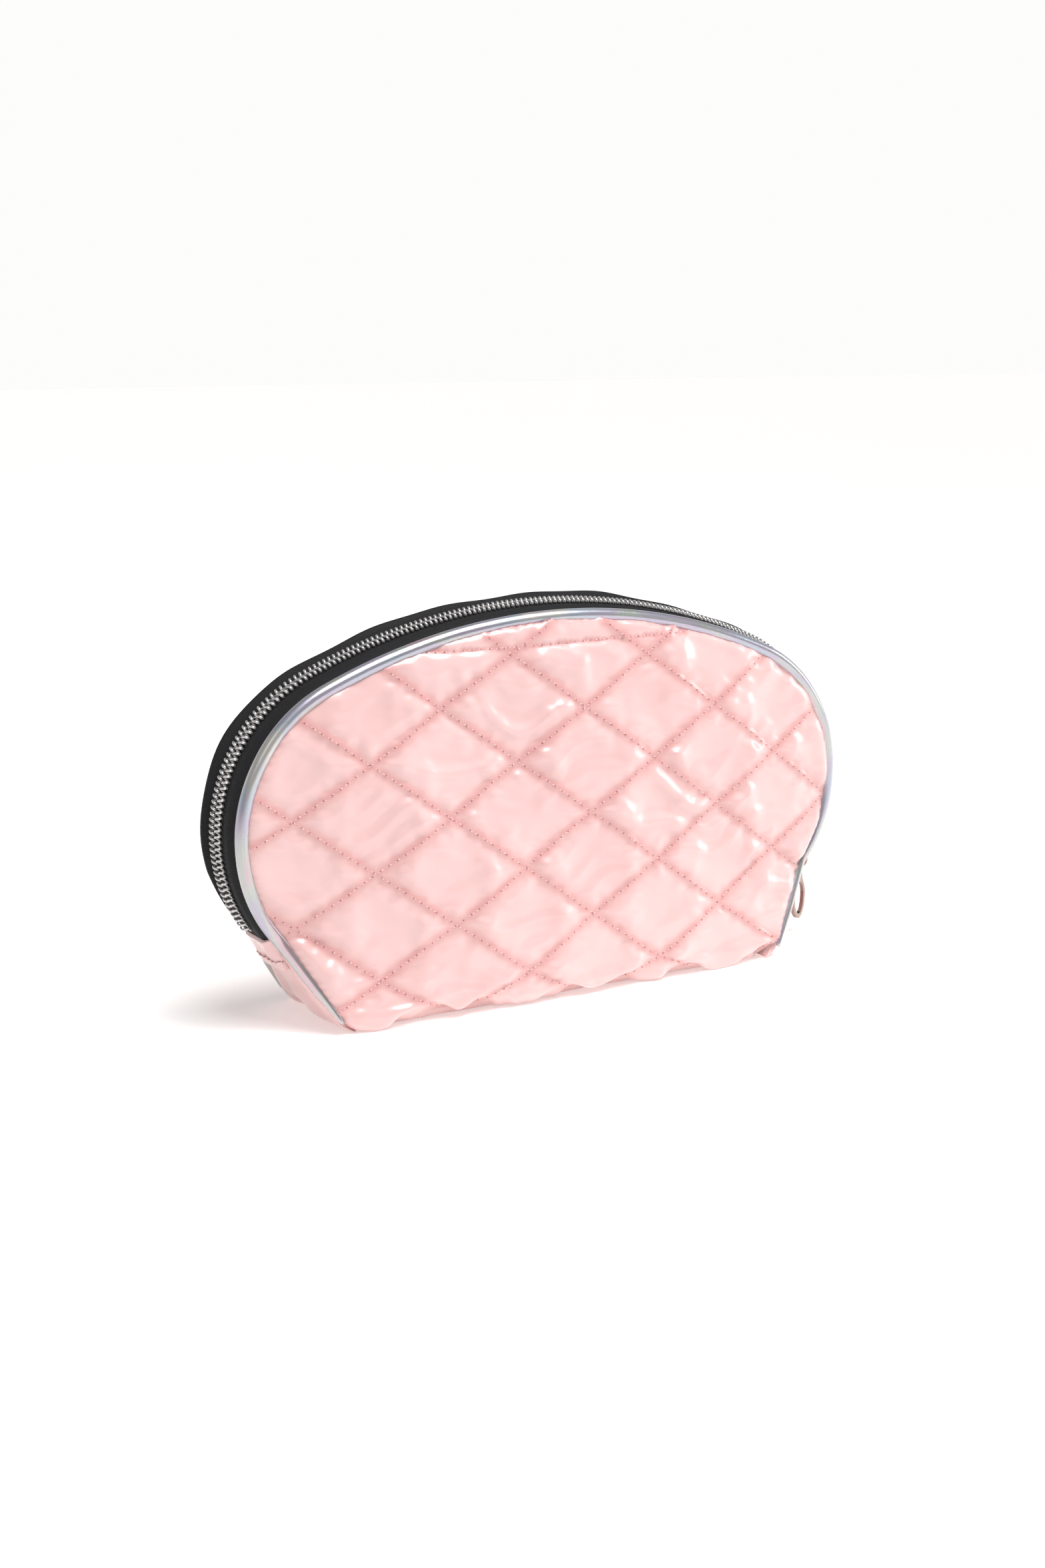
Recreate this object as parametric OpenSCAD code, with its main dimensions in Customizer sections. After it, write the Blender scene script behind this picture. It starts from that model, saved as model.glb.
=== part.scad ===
// Quilted makeup bag with a domed zip opening, a flat base and side gussets.
// Frame: origin at the centre of the base on the surface it stands on, +Z up,
// +X along the width, front towards -Y.

/* [Overall size] */
// Width across the piping at the widest level
bag_w = 220; // [190:1:264]
// Height to the top of the piping
bag_h = 122; // [113:1:150]
// Height of the widest level
wide_z = 60; // [54:1:66]
// Radius of the rounded shoulders, to the centre of the piping
shoulder_r = 47; // [41:1:54]
// Width of the base
base_w = 158; // [132:1:180]
// Depth of the base
base_d = 50; // [42:1:70]
// Height at which the zip ends and the front folds
zip_end_z = 30; // [26:1:34]

/* [Cloth and wadding] */
// Thickness of the coated outer cloth
cloth_t = 1; // [0.6:0.1:1.4]
// Thickness of the lining cloth
lining_t = 0.6; // [0.4:0.1:1]
// Thickness of the wadding in the side gussets
gusset_wadding_t = 2; // [1:0.1:4]
// Diameter of the covered piping, which also sets the padded walls' thickness
piping_d = 4.4; // [3.4:0.1:5.4]
// Diameter of the cord inside the piping
cord_d = 2.6; // [1.6:0.1:3]
// Depth of the tape that binds the inside seam
binding_h = 5.5; // [4:0.5:8]
// Width of the tape that binds the inside seam
binding_w = 2.3; // [1.5:0.1:3]

/* [Zip] */
// Width of the closed zip from piping to piping
zip_w = 18.6; // [16:0.2:24]
// Height that the zip arches out past the line of the piping
zip_rise = 2.4; // [1:0.1:3]
// Thickness of the zip tape
tape_t = 0.6; // [0.4:0.1:0.8]
// Width of one row of the coil
coil_w = 2.8; // [2.4:0.1:3.2]
// Height of the coil above the tape
coil_h = 2; // [1.6:0.1:2.4]
// Space between the two rows, which the slider's post runs in
coil_gap = 1; // [0.8:0.1:1.4]
// Height of the tab that covers the tape's end
tab_h = 9; // [6:0.5:12]

/* [Slider and pull] */
// Length of the slider along the zip
slider_l = 9.5; // [8:0.5:12]
// Clearance between the slider and the zip
slider_gap = 0.45; // [0.4:0.05:0.6]
// Thickness of the slider's plates
slider_t = 0.9; // [0.7:0.1:1.2]
// Width of the slider's bridge
bridge_w = 1.2; // [1:0.1:1.8]
// Height of the opening under the bridge
bridge_open = 1.9; // [1.6:0.1:2.4]
// Diameter of the ring's wire
wire_d = 0.9; // [0.7:0.05:1]
// Diameter of the ring to the centre of its wire
ring_d = 6.1; // [5.8:0.1:8]
// Length of the pull
pull_l = 19.9; // [16:0.1:24]
// Width of the pull
pull_w = 8.6; // [8.2:0.1:10]
// Thickness of the pull
pull_t = 1.4; // [1:0.1:1.8]
// Angle that the ring and the pull are turned about the vertical
pull_turn = 24; // [0:1:30]

/* [Hidden] */
$fn = 96;

// Clearance of the front above the fold line
fold_gap = 0.3;
// Clearance between the tape's edge and the middle of the zip
tape_mid_gap = coil_gap / 2 + 0.2;
// Clearance between pieces of sewn cloth that only touch
seam_gap = 0.1;
// Clearance between the stretches that a sewn strip is made in
stretch_gap = 0.02;
// Clearance between the parked slider and the coil's last turn
coil_rest = 1.2;
// Angle that a strip runs on past the fold before it is cut level
overrun_a = 6;
// Height of the coil's other end above the fold
coil_end_rest = 0.3;
far = 400;

// Outline of the piping: two shoulder arcs and one flat top arc, all tangent
half_w = bag_w / 2 - piping_d / 2;
shoulder_x = half_w - shoulder_r;
top_z = bag_h - piping_d / 2;
rise = top_z - wide_z;
top_r = (shoulder_x * shoulder_x + rise * rise - shoulder_r * shoulder_r) / (2 * (rise - shoulder_r));
top_cz = top_z - top_r;
join_a = atan2(wide_z - top_cz, shoulder_x);
end_a = -asin((wide_z - zip_end_z) / shoulder_r);
end_x = shoulder_x + shoulder_r * cos(end_a);
stretch_gap_a = 2 * asin(stretch_gap / 2 / top_r);

// Depths, measured from the middle of the bag
pipe_y = zip_w / 2 + piping_d / 2;
wall_y = pipe_y + piping_d / 2;
wadding_t = piping_d - cloth_t - lining_t;
gusset_t = cloth_t + gusset_wadding_t + lining_t;

// Slopes of the walls below the fold line
front_slope = (base_d / 2 - wall_y) / zip_end_z;
front_cos = cos(atan(front_slope));
side_slope = (end_x - base_w / 2) / zip_end_z;
side_cos = cos(atan(side_slope));

// Slider: its place on the shoulder arc when the zip is closed
slider_rise = 5;
slider_a = -asin((wide_z - zip_end_z - slider_rise) / shoulder_r);
slider_half_a = asin(slider_l / 2 / shoulder_r);
coil_start_a = slider_a + slider_half_a + 2 * asin(coil_rest / 2 / shoulder_r);
coil_top_r = shoulder_r + zip_rise + tape_t / 2 + coil_h;
coil_end_a = -asin((wide_z - zip_end_z - coil_end_rest) / coil_top_r);
plate_in = tape_t / 2 + coil_h + slider_gap;
plate_out = plate_in + slider_t;
lip_t = 0.85;
slider_y = coil_gap / 2 + coil_w + slider_gap + lip_t;
post_t = coil_gap / 2;

// Ring and pull: where the ring's wire passes under the bridge
hook_gap = 0.5;
hook_out = zip_rise + plate_out + wire_d / 2 + hook_gap;
hook_up = -1.7;
hook_x = shoulder_x + shoulder_r * cos(slider_a) + hook_out * cos(slider_a) - hook_up * sin(slider_a);
hook_z = wide_z + shoulder_r * sin(slider_a) + hook_out * sin(slider_a) + hook_up * cos(slider_a);
eye_gap = 0.5;
eye_wall = 0.75;
eye_hole_r = wire_d / 2 + eye_gap;
eye_r = eye_hole_r + eye_wall;
eye_drop = 0.4;
pull_foot_r = 2.7;
pull_rim = 1.35;

pink = [0.96, 0.76, 0.77];
deep_pink = [0.92, 0.68, 0.69];
pale_lining = [0.93, 0.86, 0.86];
foam = [0.97, 0.95, 0.92];
silver_pvc = [0.78, 0.80, 0.86];
black = [0.08, 0.08, 0.09];
coil_silver = [0.80, 0.80, 0.80];
rose_nickel = [0.76, 0.65, 0.60];

// Half width and half depth of the piping's centre line below the fold line
function side_at(z) = base_w / 2 + side_slope * z;
function wall_at(z) = base_d / 2 - front_slope * z;

// Everything above the fold line, raised by a clearance
module above_fold(lift) {
    translate([-far / 2, -far / 2, zip_end_z + lift]) cube([far, far, far]);
}

// Flat outline of the front above the fold, grown outwards by off
module dome(off) {
    wedge_l = top_r * 2;
    intersection() {
        translate([0, top_cz]) circle(r = top_r + off);
        polygon([[0, top_cz],
                 [wedge_l * cos(join_a), top_cz + wedge_l * sin(join_a)],
                 [-wedge_l * cos(join_a), top_cz + wedge_l * sin(join_a)]]);
    }
    for (side = [-1, 1])
        translate([side * shoulder_x, wide_z]) circle(r = shoulder_r + off);
    translate([-shoulder_x, zip_end_z]) square([2 * shoulder_x, wide_z - zip_end_z]);
}

// One layer of the upright front wall, between two depths from its outer face
module upper_layer(from, to, lift) {
    intersection() {
        translate([0, -wall_y + to, 0]) rotate([90, 0, 0])
            linear_extrude(height = to - from) dome(-piping_d / 2);
        above_fold(lift);
    }
}

// Sweeps a flat section round the right shoulder; x is outwards and y is to the front
module shoulder_arc(low_a) {
    translate([shoulder_x, 0, wide_z]) rotate([90, 0, 0])
        rotate_extrude(angle = join_a - low_a, start = low_a)
            translate([shoulder_r, 0]) children();
}

// The same section swept along the top between the shoulders
module top_arc() {
    translate([0, 0, top_cz]) rotate([90, 0, 0])
        rotate_extrude(angle = 180 - 2 * (join_a + stretch_gap_a), start = join_a + stretch_gap_a)
            translate([top_r, 0]) children();
}

// The same section along the whole zip, cut level just above the fold line
module to_fold(lift) {
    for (side = [0, 1])
        mirror([side, 0, 0]) intersection() {
            shoulder_arc(end_a - overrun_a) children();
            above_fold(lift);
        }
    top_arc() children();
}

// The same section from above the closed slider to the zip's other end
module coil_run() {
    shoulder_arc(coil_start_a) children();
    mirror([1, 0, 0]) shoulder_arc(coil_end_a) children();
    top_arc() children();
}

// Prism between the two leaning walls, each moved inwards by off
module between_walls(off, z0, z1) {
    d = off / front_cos;
    translate([-far / 2, 0, 0]) rotate([90, 0, 90]) linear_extrude(height = far)
        polygon([[-wall_at(z0) + d, z0], [wall_at(z0) - d, z0],
                 [wall_at(z1) - d, z1], [-wall_at(z1) + d, z1]]);
}

// Prism between the two leaning sides, each moved outwards by off
module between_sides(off, z0, z1) {
    d = off / side_cos;
    translate([0, far / 2, 0]) rotate([90, 0, 0]) linear_extrude(height = far)
        polygon([[-side_at(z0) - d, z0], [side_at(z0) + d, z0],
                 [side_at(z1) + d, z1], [-side_at(z1) - d, z1]]);
}

// One layer of the front wall below the fold, between two depths from its face
module lower_layer(from, to) {
    intersection() {
        difference() {
            between_walls(from, cloth_t, zip_end_z);
            between_walls(to, 0, zip_end_z + 1);
            translate([-far / 2, 0, -1]) cube([far, far, far]);
        }
        between_sides(-piping_d / 2, 0, zip_end_z);
    }
}

// One layer of the right gusset, between two distances outwards of the seam line
module gusset_layer(from, to) {
    intersection() {
        difference() {
            between_sides(to, cloth_t, zip_end_z);
            between_sides(from, 0, zip_end_z + 1);
            translate([-far, -far / 2, -1]) cube([far, far, far]);
        }
        between_walls(piping_d + seam_gap, 0, zip_end_z);
    }
}

// A twelve-sided bar from one point to another
module bar(p, q, d) {
    v = q - p;
    translate(p) rotate([0, acos(v[2] / norm(v)), atan2(v[1], v[0])]) cylinder(h = norm(v), d = d, $fn = 12);
}

// The piping of the front below the fold, one stretch each side
module lower_piping() {
    half_d = piping_d / 2 / front_cos;
    foot = [side_at(-5), -(wall_at(-5) - half_d), -5];
    head = [side_at(zip_end_z + 5), -(wall_at(zip_end_z + 5) - half_d), zip_end_z + 5];
    for (side = [0, 1])
        mirror([side, 0, 0]) intersection() {
            bar(foot, head, piping_d);
            translate([0, -far / 2, cloth_t]) cube([far, far, zip_end_z - cloth_t]);
        }
}

// Flat sheet in the base with rounded corners, long enough to reach under both gussets
module base_sheet(z, t) {
    corner_r = 3;
    sheet_w = 2 * side_at(z + t);
    translate([0, 0, z]) linear_extrude(height = t) {
        square([sheet_w - 2 * corner_r, base_d], center = true);
        square([sheet_w, base_d - 2 * corner_r], center = true);
        for (x = [-1, 1], y = [-1, 1])
            translate([x * (sheet_w / 2 - corner_r), y * (base_d / 2 - corner_r)]) circle(r = corner_r);
    }
}

// One layer of the base inside the walls
module base_layer(z, t) {
    intersection() {
        between_walls(piping_d + seam_gap, 0, zip_end_z);
        between_sides(-gusset_t + tape_t / 2 - seam_gap, 0, zip_end_z);
        translate([-far / 2, -far / 2, z]) cube([far, far, t]);
    }
}

module to_back() {
    mirror([0, 1, 0]) children();
}

module to_left() {
    mirror([1, 0, 0]) children();
}

// Sections of the sewn strips, x outwards and y to the front
module piping_section() {
    translate([0, pipe_y]) difference() {
        circle(d = piping_d);
        circle(d = cord_d);
    }
}

module cord_section() {
    translate([0, pipe_y]) circle(d = cord_d);
}

module tape_section() {
    edge_y = zip_w / 2 - seam_gap;
    flat_y = edge_y - zip_rise;
    half_t = tape_t / 2;
    polygon([[-half_t, edge_y], [half_t, edge_y],
             [zip_rise + half_t, flat_y], [zip_rise + half_t, tape_mid_gap],
             [zip_rise - half_t, tape_mid_gap], [zip_rise - half_t, flat_y]]);
}

module coil_section() {
    bevel = coil_h / 4;
    translate([zip_rise + tape_t / 2, coil_gap / 2])
        polygon([[0, 0], [coil_h - bevel, 0], [coil_h, bevel], [coil_h, coil_w - bevel],
                 [coil_h - bevel, coil_w], [0, coil_w]]);
}

module binding_section() {
    translate([-tape_t / 2 - seam_gap - binding_h, zip_w / 2 - seam_gap - binding_w])
        square([binding_h, binding_w]);
}

// Base
module base_panel() {
    color(deep_pink) base_sheet(0, cloth_t);
}

module base_wadding() {
    color(foam) base_layer(cloth_t, wadding_t);
}

module base_lining() {
    color(pale_lining) base_layer(cloth_t + wadding_t, lining_t);
}

// Front below the fold
module front_panel_lower() {
    color(pink) lower_layer(0, cloth_t);
}

module front_wadding_lower() {
    color(foam) lower_layer(cloth_t, cloth_t + wadding_t);
}

module front_lining_lower() {
    color(pale_lining) lower_layer(cloth_t + wadding_t, piping_d);
}

// Back, one sheet of each layer from the base to the zip
module back_layer(from, to) {
    to_back() {
        lower_layer(from, to);
        upper_layer(from, to, 0);
    }
}

module back_panel() {
    color(pink) back_layer(0, cloth_t);
}

module back_wadding() {
    color(foam) back_layer(cloth_t, cloth_t + wadding_t);
}

module back_lining() {
    color(pale_lining) back_layer(cloth_t + wadding_t, piping_d);
}

// Gussets: the ends of the base strip, folded up to the zip
module right_gusset() {
    color(deep_pink) gusset_layer(tape_t / 2 - cloth_t, tape_t / 2);
}

module right_gusset_wadding() {
    color(foam) gusset_layer(tape_t / 2 - cloth_t - gusset_wadding_t, tape_t / 2 - cloth_t);
}

module right_gusset_lining() {
    color(pale_lining) gusset_layer(tape_t / 2 - gusset_t, tape_t / 2 - cloth_t - gusset_wadding_t);
}

module left_gusset() {
    to_left() right_gusset();
}

module left_gusset_wadding() {
    to_left() right_gusset_wadding();
}

module left_gusset_lining() {
    to_left() right_gusset_lining();
}

// Padded tabs that cover the ends of the zip, as thick as the zip stands out
module right_end_tab() {
    tab_margin = 1;
    color(pink) intersection() {
        gusset_layer(tape_t / 2, tape_t / 2 + zip_rise);
        translate([0, tab_margin - zip_w / 2, zip_end_z - tab_h])
            cube([far, zip_w - 2 * tab_margin, tab_h - fold_gap]);
    }
}

module left_end_tab() {
    to_left() right_end_tab();
}

// Piping below the fold
module front_piping_lower() {
    color(silver_pvc) lower_piping();
}

module back_piping_lower() {
    color(silver_pvc) to_back() lower_piping();
}

// Back edge of the opening
module back_piping() {
    color(silver_pvc) to_back() to_fold(0) piping_section();
}

module back_piping_cord() {
    color(foam) to_back() to_fold(0) cord_section();
}

module back_seam_binding() {
    color(black) to_back() to_fold(0) binding_section();
}

module back_zip_tape() {
    color(black) to_back() to_fold(0) tape_section();
}

module back_coil() {
    color(coil_silver) to_back() coil_run() coil_section();
}

// Front above the fold
module front_panel_upper() {
    color(pink) upper_layer(0, cloth_t, fold_gap);
}

module front_wadding_upper() {
    color(foam) upper_layer(cloth_t, cloth_t + wadding_t, fold_gap);
}

module front_lining_upper() {
    color(pale_lining) upper_layer(cloth_t + wadding_t, piping_d, fold_gap);
}

module front_piping() {
    color(silver_pvc) to_fold(fold_gap) piping_section();
}

module front_piping_cord() {
    color(foam) to_fold(fold_gap) cord_section();
}

module front_seam_binding() {
    color(black) to_fold(fold_gap) binding_section();
}

module front_zip_tape() {
    color(black) to_fold(fold_gap) tape_section();
}

module front_coil() {
    color(coil_silver) coil_run() coil_section();
}

// Turns the slider's own frame to its place: x outwards, z up along the zip
module at_slider() {
    run_r = shoulder_r + zip_rise;
    translate([shoulder_x + run_r * cos(slider_a), 0, wide_z + run_r * sin(slider_a)])
        rotate([0, -slider_a, 0]) children();
}

// Slider: outer plate with two lips, a post between the rows and an inner plate.
// The inner plate lies under the back tape only, so that the front tape swings clear.
module slider_body() {
    lip_in = tape_t / 2 + slider_gap;
    taper = 0.7;
    post_l = 3;
    inner_gap = slider_gap + 0.2;
    plate = [[-slider_y, -slider_l / 2], [slider_y, -slider_l / 2], [slider_y, 0],
             [slider_y - taper, slider_l / 2], [taper - slider_y, slider_l / 2], [-slider_y, 0]];
    inner_out = -tape_t / 2 - inner_gap;
    color(rose_nickel) at_slider() {
        translate([plate_in, 0, 0]) rotate([90, 0, 90]) linear_extrude(height = slider_t) polygon(plate);
        for (side = [0, 1])
            mirror([0, side, 0]) translate([lip_in, slider_y - lip_t, -slider_l / 2])
                cube([plate_in - lip_in, lip_t, slider_l / 2]);
        translate([inner_out - slider_t, -post_t / 2, -slider_l / 2]) cube([slider_t, slider_y, slider_l]);
        translate([inner_out, -post_t / 2, -slider_l / 2]) cube([plate_in - inner_out, post_t, post_l]);
    }
}

module slider_bridge() {
    leg_t = 0.9;
    bar_t = 0.8;
    bridge_l = 7.2;
    color(rose_nickel) at_slider() {
        for (side = [0, 1])
            mirror([0, 0, side]) translate([plate_out, -bridge_w / 2, bridge_l / 2 - leg_t])
                cube([bridge_open + bar_t, bridge_w, leg_t]);
        translate([plate_out + bridge_open, -bridge_w / 2, -bridge_l / 2]) cube([bar_t, bridge_w, bridge_l]);
    }
}

module pull_ring() {
    color(rose_nickel) translate([hook_x, 0, hook_z - ring_d / 2]) rotate([0, 0, pull_turn])
        rotate([0, 90, 0]) rotate_extrude() translate([ring_d / 2, 0]) circle(d = wire_d);
}

// Round-ended strip whose ends differ in size: circles of r0 at z0 and r1 at z1
module strap(z0, r0, z1, r1) {
    hull() {
        translate([0, z0]) circle(r = r0, $fn = 32);
        translate([0, z1]) circle(r = r1, $fn = 32);
    }
}

// Pull: a tear-shaped loop with an eye for the ring and a long open middle
module pull_tab() {
    foot_z = eye_r - eye_drop - pull_l + pull_foot_r;
    wide = pull_w / 2;
    belly_z = foot_z + 5.7;
    slot_top = belly_z + 3.6;
    slot_top_r = 1.3;
    slot_foot_r = 1.6;
    slot_foot = foot_z + slot_foot_r;
    color(rose_nickel) translate([hook_x, 0, hook_z - ring_d]) rotate([0, 0, pull_turn])
        translate([0, pull_t / 2, 0]) rotate([90, 0, 0]) linear_extrude(height = pull_t) difference() {
            union() {
                strap(-eye_drop, eye_r, belly_z, wide);
                strap(belly_z, wide, foot_z, pull_foot_r);
            }
            translate([0, -eye_drop]) circle(r = eye_hole_r);
            strap(slot_top, slot_top_r, belly_z, wide - pull_rim);
            strap(belly_z, wide - pull_rim, slot_foot, slot_foot_r);
        }
}

base_panel();
base_wadding();
base_lining();
front_panel_lower();
front_wadding_lower();
front_lining_lower();
back_panel();
back_wadding();
back_lining();
left_gusset();
left_gusset_wadding();
left_gusset_lining();
right_gusset();
right_gusset_wadding();
right_gusset_lining();
left_end_tab();
right_end_tab();
front_piping_lower();
back_piping_lower();
back_piping();
back_piping_cord();
back_seam_binding();
back_zip_tape();
back_coil();
front_panel_upper();
front_wadding_upper();
front_lining_upper();
front_piping();
front_piping_cord();
front_seam_binding();
front_zip_tape();
front_coil();
slider_body();
slider_bridge();
pull_ring();
pull_tab();
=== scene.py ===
import bpy
import math
import random
import numpy as np
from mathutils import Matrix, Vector
from mathutils.bvhtree import BVHTree


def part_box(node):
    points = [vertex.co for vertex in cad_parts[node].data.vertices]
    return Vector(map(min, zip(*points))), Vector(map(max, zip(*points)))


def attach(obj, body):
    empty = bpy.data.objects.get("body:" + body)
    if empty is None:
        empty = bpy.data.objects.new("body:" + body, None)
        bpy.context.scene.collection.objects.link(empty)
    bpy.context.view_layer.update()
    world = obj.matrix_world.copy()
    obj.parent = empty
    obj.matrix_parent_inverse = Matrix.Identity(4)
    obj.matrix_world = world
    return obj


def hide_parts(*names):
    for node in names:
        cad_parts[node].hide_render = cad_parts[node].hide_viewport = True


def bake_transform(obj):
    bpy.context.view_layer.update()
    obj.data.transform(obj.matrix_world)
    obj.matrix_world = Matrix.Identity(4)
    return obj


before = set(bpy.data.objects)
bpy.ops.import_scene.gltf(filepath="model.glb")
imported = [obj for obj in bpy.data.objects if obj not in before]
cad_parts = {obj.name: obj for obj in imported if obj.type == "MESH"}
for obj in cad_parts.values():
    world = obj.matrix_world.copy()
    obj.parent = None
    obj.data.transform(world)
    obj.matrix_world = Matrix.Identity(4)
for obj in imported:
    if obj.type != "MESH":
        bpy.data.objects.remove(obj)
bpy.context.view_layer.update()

bpy.ops.object.select_all(action="DESELECT")
print("frame loaded")

# Sizes of the bag in metres, taken from the frame where it has them
pipeLow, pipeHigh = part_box("front_piping")
baseLow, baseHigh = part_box("base_panel")
bag = {
    "pipeR": (pipeHigh[1] - pipeLow[1]) / 2,
    "pipeY": -(pipeHigh[1] + pipeLow[1]) / 2,  # depth of the piping's middle
    "baseX": baseHigh[0],
    "baseY": baseHigh[1],
    "foldZ": 0.030,      # the zip ends and the front folds here
    "wideZ": 0.060,      # widest level
    "shoulderR": 0.047,  # to the middle of the piping
}
bag["halfX"] = pipeHigh[0] - bag["pipeR"]
bag["topZ"] = pipeHigh[2] - bag["pipeR"]
shoulderX = bag["halfX"] - bag["shoulderR"]
rise = bag["topZ"] - bag["wideZ"]
topR = (shoulderX ** 2 + rise ** 2 - bag["shoulderR"] ** 2) / (2 * (rise - bag["shoulderR"]))
topMid = bag["topZ"] - topR
joinA = math.atan2(bag["wideZ"] - topMid, shoulderX)
endA = -math.asin((bag["wideZ"] - bag["foldZ"]) / bag["shoulderR"])
endX = shoulderX + bag["shoulderR"] * math.cos(endA)
shoulderL = bag["shoulderR"] * (joinA - endA)
topL = topR * (math.pi - 2 * joinA)
zipL = 2 * shoulderL + topL
sideL = math.hypot(endX - bag["baseX"], bag["foldZ"])


# A place on the zip's line, s metres from its right end: x, z and the outward direction
def zipPlace(s):
    if s < 0:
        dx, dz = (endX - bag["baseX"]) / sideL, bag["foldZ"] / sideL
        return endX + dx * s, bag["foldZ"] + dz * s, dz, -dx
    if s <= shoulderL:
        a = endA + s / bag["shoulderR"]
        return (shoulderX + bag["shoulderR"] * math.cos(a), bag["wideZ"] + bag["shoulderR"] * math.sin(a),
                math.cos(a), math.sin(a))
    if s <= shoulderL + topL / 2:
        a = joinA + (s - shoulderL) / topR
        return topR * math.cos(a), topMid + topR * math.sin(a), math.cos(a), math.sin(a)
    x, z, nx, nz = zipPlace(zipL - s)
    return -x, z, -nx, nz


# Half the width at a height, and how far a point lies inside the outline
def halfWidth(z):
    z = np.asarray(z, float)
    low = bag["baseX"] + (endX - bag["baseX"]) * np.clip(z, 0, None) / bag["foldZ"]
    arc = shoulderX + np.sqrt(np.clip(bag["shoulderR"] ** 2 - (z - bag["wideZ"]) ** 2, 0, None))
    top = np.sqrt(np.clip(topR ** 2 - (z - topMid) ** 2, 0, None))
    joinZ = bag["wideZ"] + bag["shoulderR"] * math.sin(joinA)
    return np.where(z < bag["foldZ"], low, np.where(z < joinZ, arc, top))


def insideBy(x, z):
    x = np.abs(x)
    lean = bag["foldZ"] / sideL
    low = (halfWidth(z) - x) * lean
    turn = np.arctan2(z - bag["wideZ"], x - shoulderX)
    arc = bag["shoulderR"] - np.hypot(x - shoulderX, z - bag["wideZ"])
    top = topR - np.hypot(x, z - topMid)
    upper = np.where(turn <= joinA, np.where(x > shoulderX, arc, halfWidth(z) - x), top)
    return np.where(z < bag["foldZ"], np.minimum(low, 0.2), upper)


# Depth of the padded wall's seams in front of the middle plane
wall = {
    "fullness": 0.0105,   # how far the middle of the wall stands out past its edges
    "footRound": 0.005,   # radius where the wall turns under the base
    "sag": 0.0011,        # slow uneven swell of the stuffed wall
    "sewnIn": 0.0006,     # the wall leaves the piping this far in front of its middle
}


def wallDepth(x, z, seed):
    z = np.clip(z, 0, bag["topZ"])
    drop = np.clip((bag["foldZ"] - z) / bag["foldZ"], 0, 1)
    edge = bag["pipeY"] + wall["sewnIn"] + drop * (bag["baseY"] - bag["pipeR"] - bag["pipeY"])
    middle = bag["pipeY"] + 0.0012 + wall["fullness"] * (1 - (z / bag["topZ"]) ** 1.7) + 0.0015
    middle = np.maximum(middle, edge + 0.0008)
    across = 1 - np.clip(np.abs(x) / np.maximum(halfWidth(z), 0.004), 0, 1) ** 2.6
    swell = (np.sin(x * 41 + seed) * np.sin(z * 55 + seed * 2) + 0.6 * np.sin(x * 90 + z * 60 + seed * 3))
    return edge + (middle - edge) * across + wall["sag"] * swell * across


# Wall's sheet: x across and v up, with v below zero turned under the base
def wallPoint(x, v, side, seed):
    r = wall["footRound"]
    z = np.clip(v, r, None)
    depth = wallDepth(x, z, seed)
    turn = np.clip((r - v) / r, 0, math.pi / 2)
    flat = np.clip(r - v - r * math.pi / 2, 0, None)
    depth = depth - r * (1 - np.cos(turn)) - flat
    z = np.where(v < r, r * (1 - np.sin(turn)) + 0.0009 * np.sin(turn), z)
    return np.stack([x, side * depth, z], -1)


# Loose mesh of a soft piece
def softPiece(name, points, faces, uv=None):
    mesh = bpy.data.meshes.new(name)
    mesh.from_pydata([tuple(p) for p in points], [], faces)
    mesh.polygons.foreach_set("use_smooth", [True] * len(mesh.polygons))
    if uv is not None:
        layer = mesh.uv_layers.new(name="UVMap")
        loops = np.zeros(len(mesh.loops), int)
        mesh.loops.foreach_get("vertex_index", loops)
        layer.data.foreach_set("uv", np.asarray(uv, float)[loops].ravel())
    mesh.update()
    piece = bpy.data.objects.new(name, mesh)
    bpy.context.scene.collection.objects.link(piece)
    return piece


def pickOnly(piece):
    bpy.ops.object.select_all(action="DESELECT")
    bpy.context.view_layer.objects.active = piece
    piece.select_set(True)


def applyAll(piece):
    pickOnly(piece)
    for modifier in list(piece.modifiers):
        bpy.ops.object.modifier_apply(modifier=modifier.name)


def coordsOf(mesh):
    co = np.zeros(len(mesh.vertices) * 3)
    mesh.vertices.foreach_get("co", co)
    return co.reshape(-1, 3)


def turnOutward(piece):
    pickOnly(piece)
    bpy.ops.object.mode_set(mode="EDIT")
    bpy.ops.mesh.select_all(action="SELECT")
    bpy.ops.mesh.normals_make_consistent(inside=False)
    bpy.ops.mesh.select_all(action="DESELECT")
    bpy.ops.object.mode_set(mode="OBJECT")


# Quilting: seams cross at the corners of wide diamonds
quilt = {
    "originX": -0.0191, "originZ": 0.1099,   # one crossing of the seams
    "wideX": 0.0496, "wideZ": -0.0034,       # from a crossing to the next one across
    "highX": -0.0003, "highZ": 0.0328,       # and to the next one up
    "cuts": 22,          # mesh steps along each side of a diamond
    "topSeam": 0.0078,   # extra seam below the top of the piping
    "topSeamX": 0.050,   # its half length
    "spare": 0.055,      # how much longer the cloth is than its seams
    "push": 3.2,         # pressure of the wadding
    "cap": 0.0062,       # furthest that the cloth may rise
    "seamRise": 0.0012,  # seams stand out between their crossings
    "lining": 0.0022,    # distance from the seams to the lining
}


def quiltToSheet(a, b):
    i, j = (a + b) / 2, (a - b) / 2
    x = quilt["originX"] + i * quilt["wideX"] + j * quilt["highX"]
    v = quilt["originZ"] + i * quilt["wideZ"] + j * quilt["highZ"]
    return x, v


# Distance from each point to the nearest seam, and along it, in mesh steps
def seamSteps(p, q):
    cuts = quilt["cuts"]
    dp = np.abs(((p + cuts / 2) % cuts) - cuts / 2)
    dq = np.abs(((q + cuts / 2) % cuts) - cuts / 2)
    return dp, dq


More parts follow.
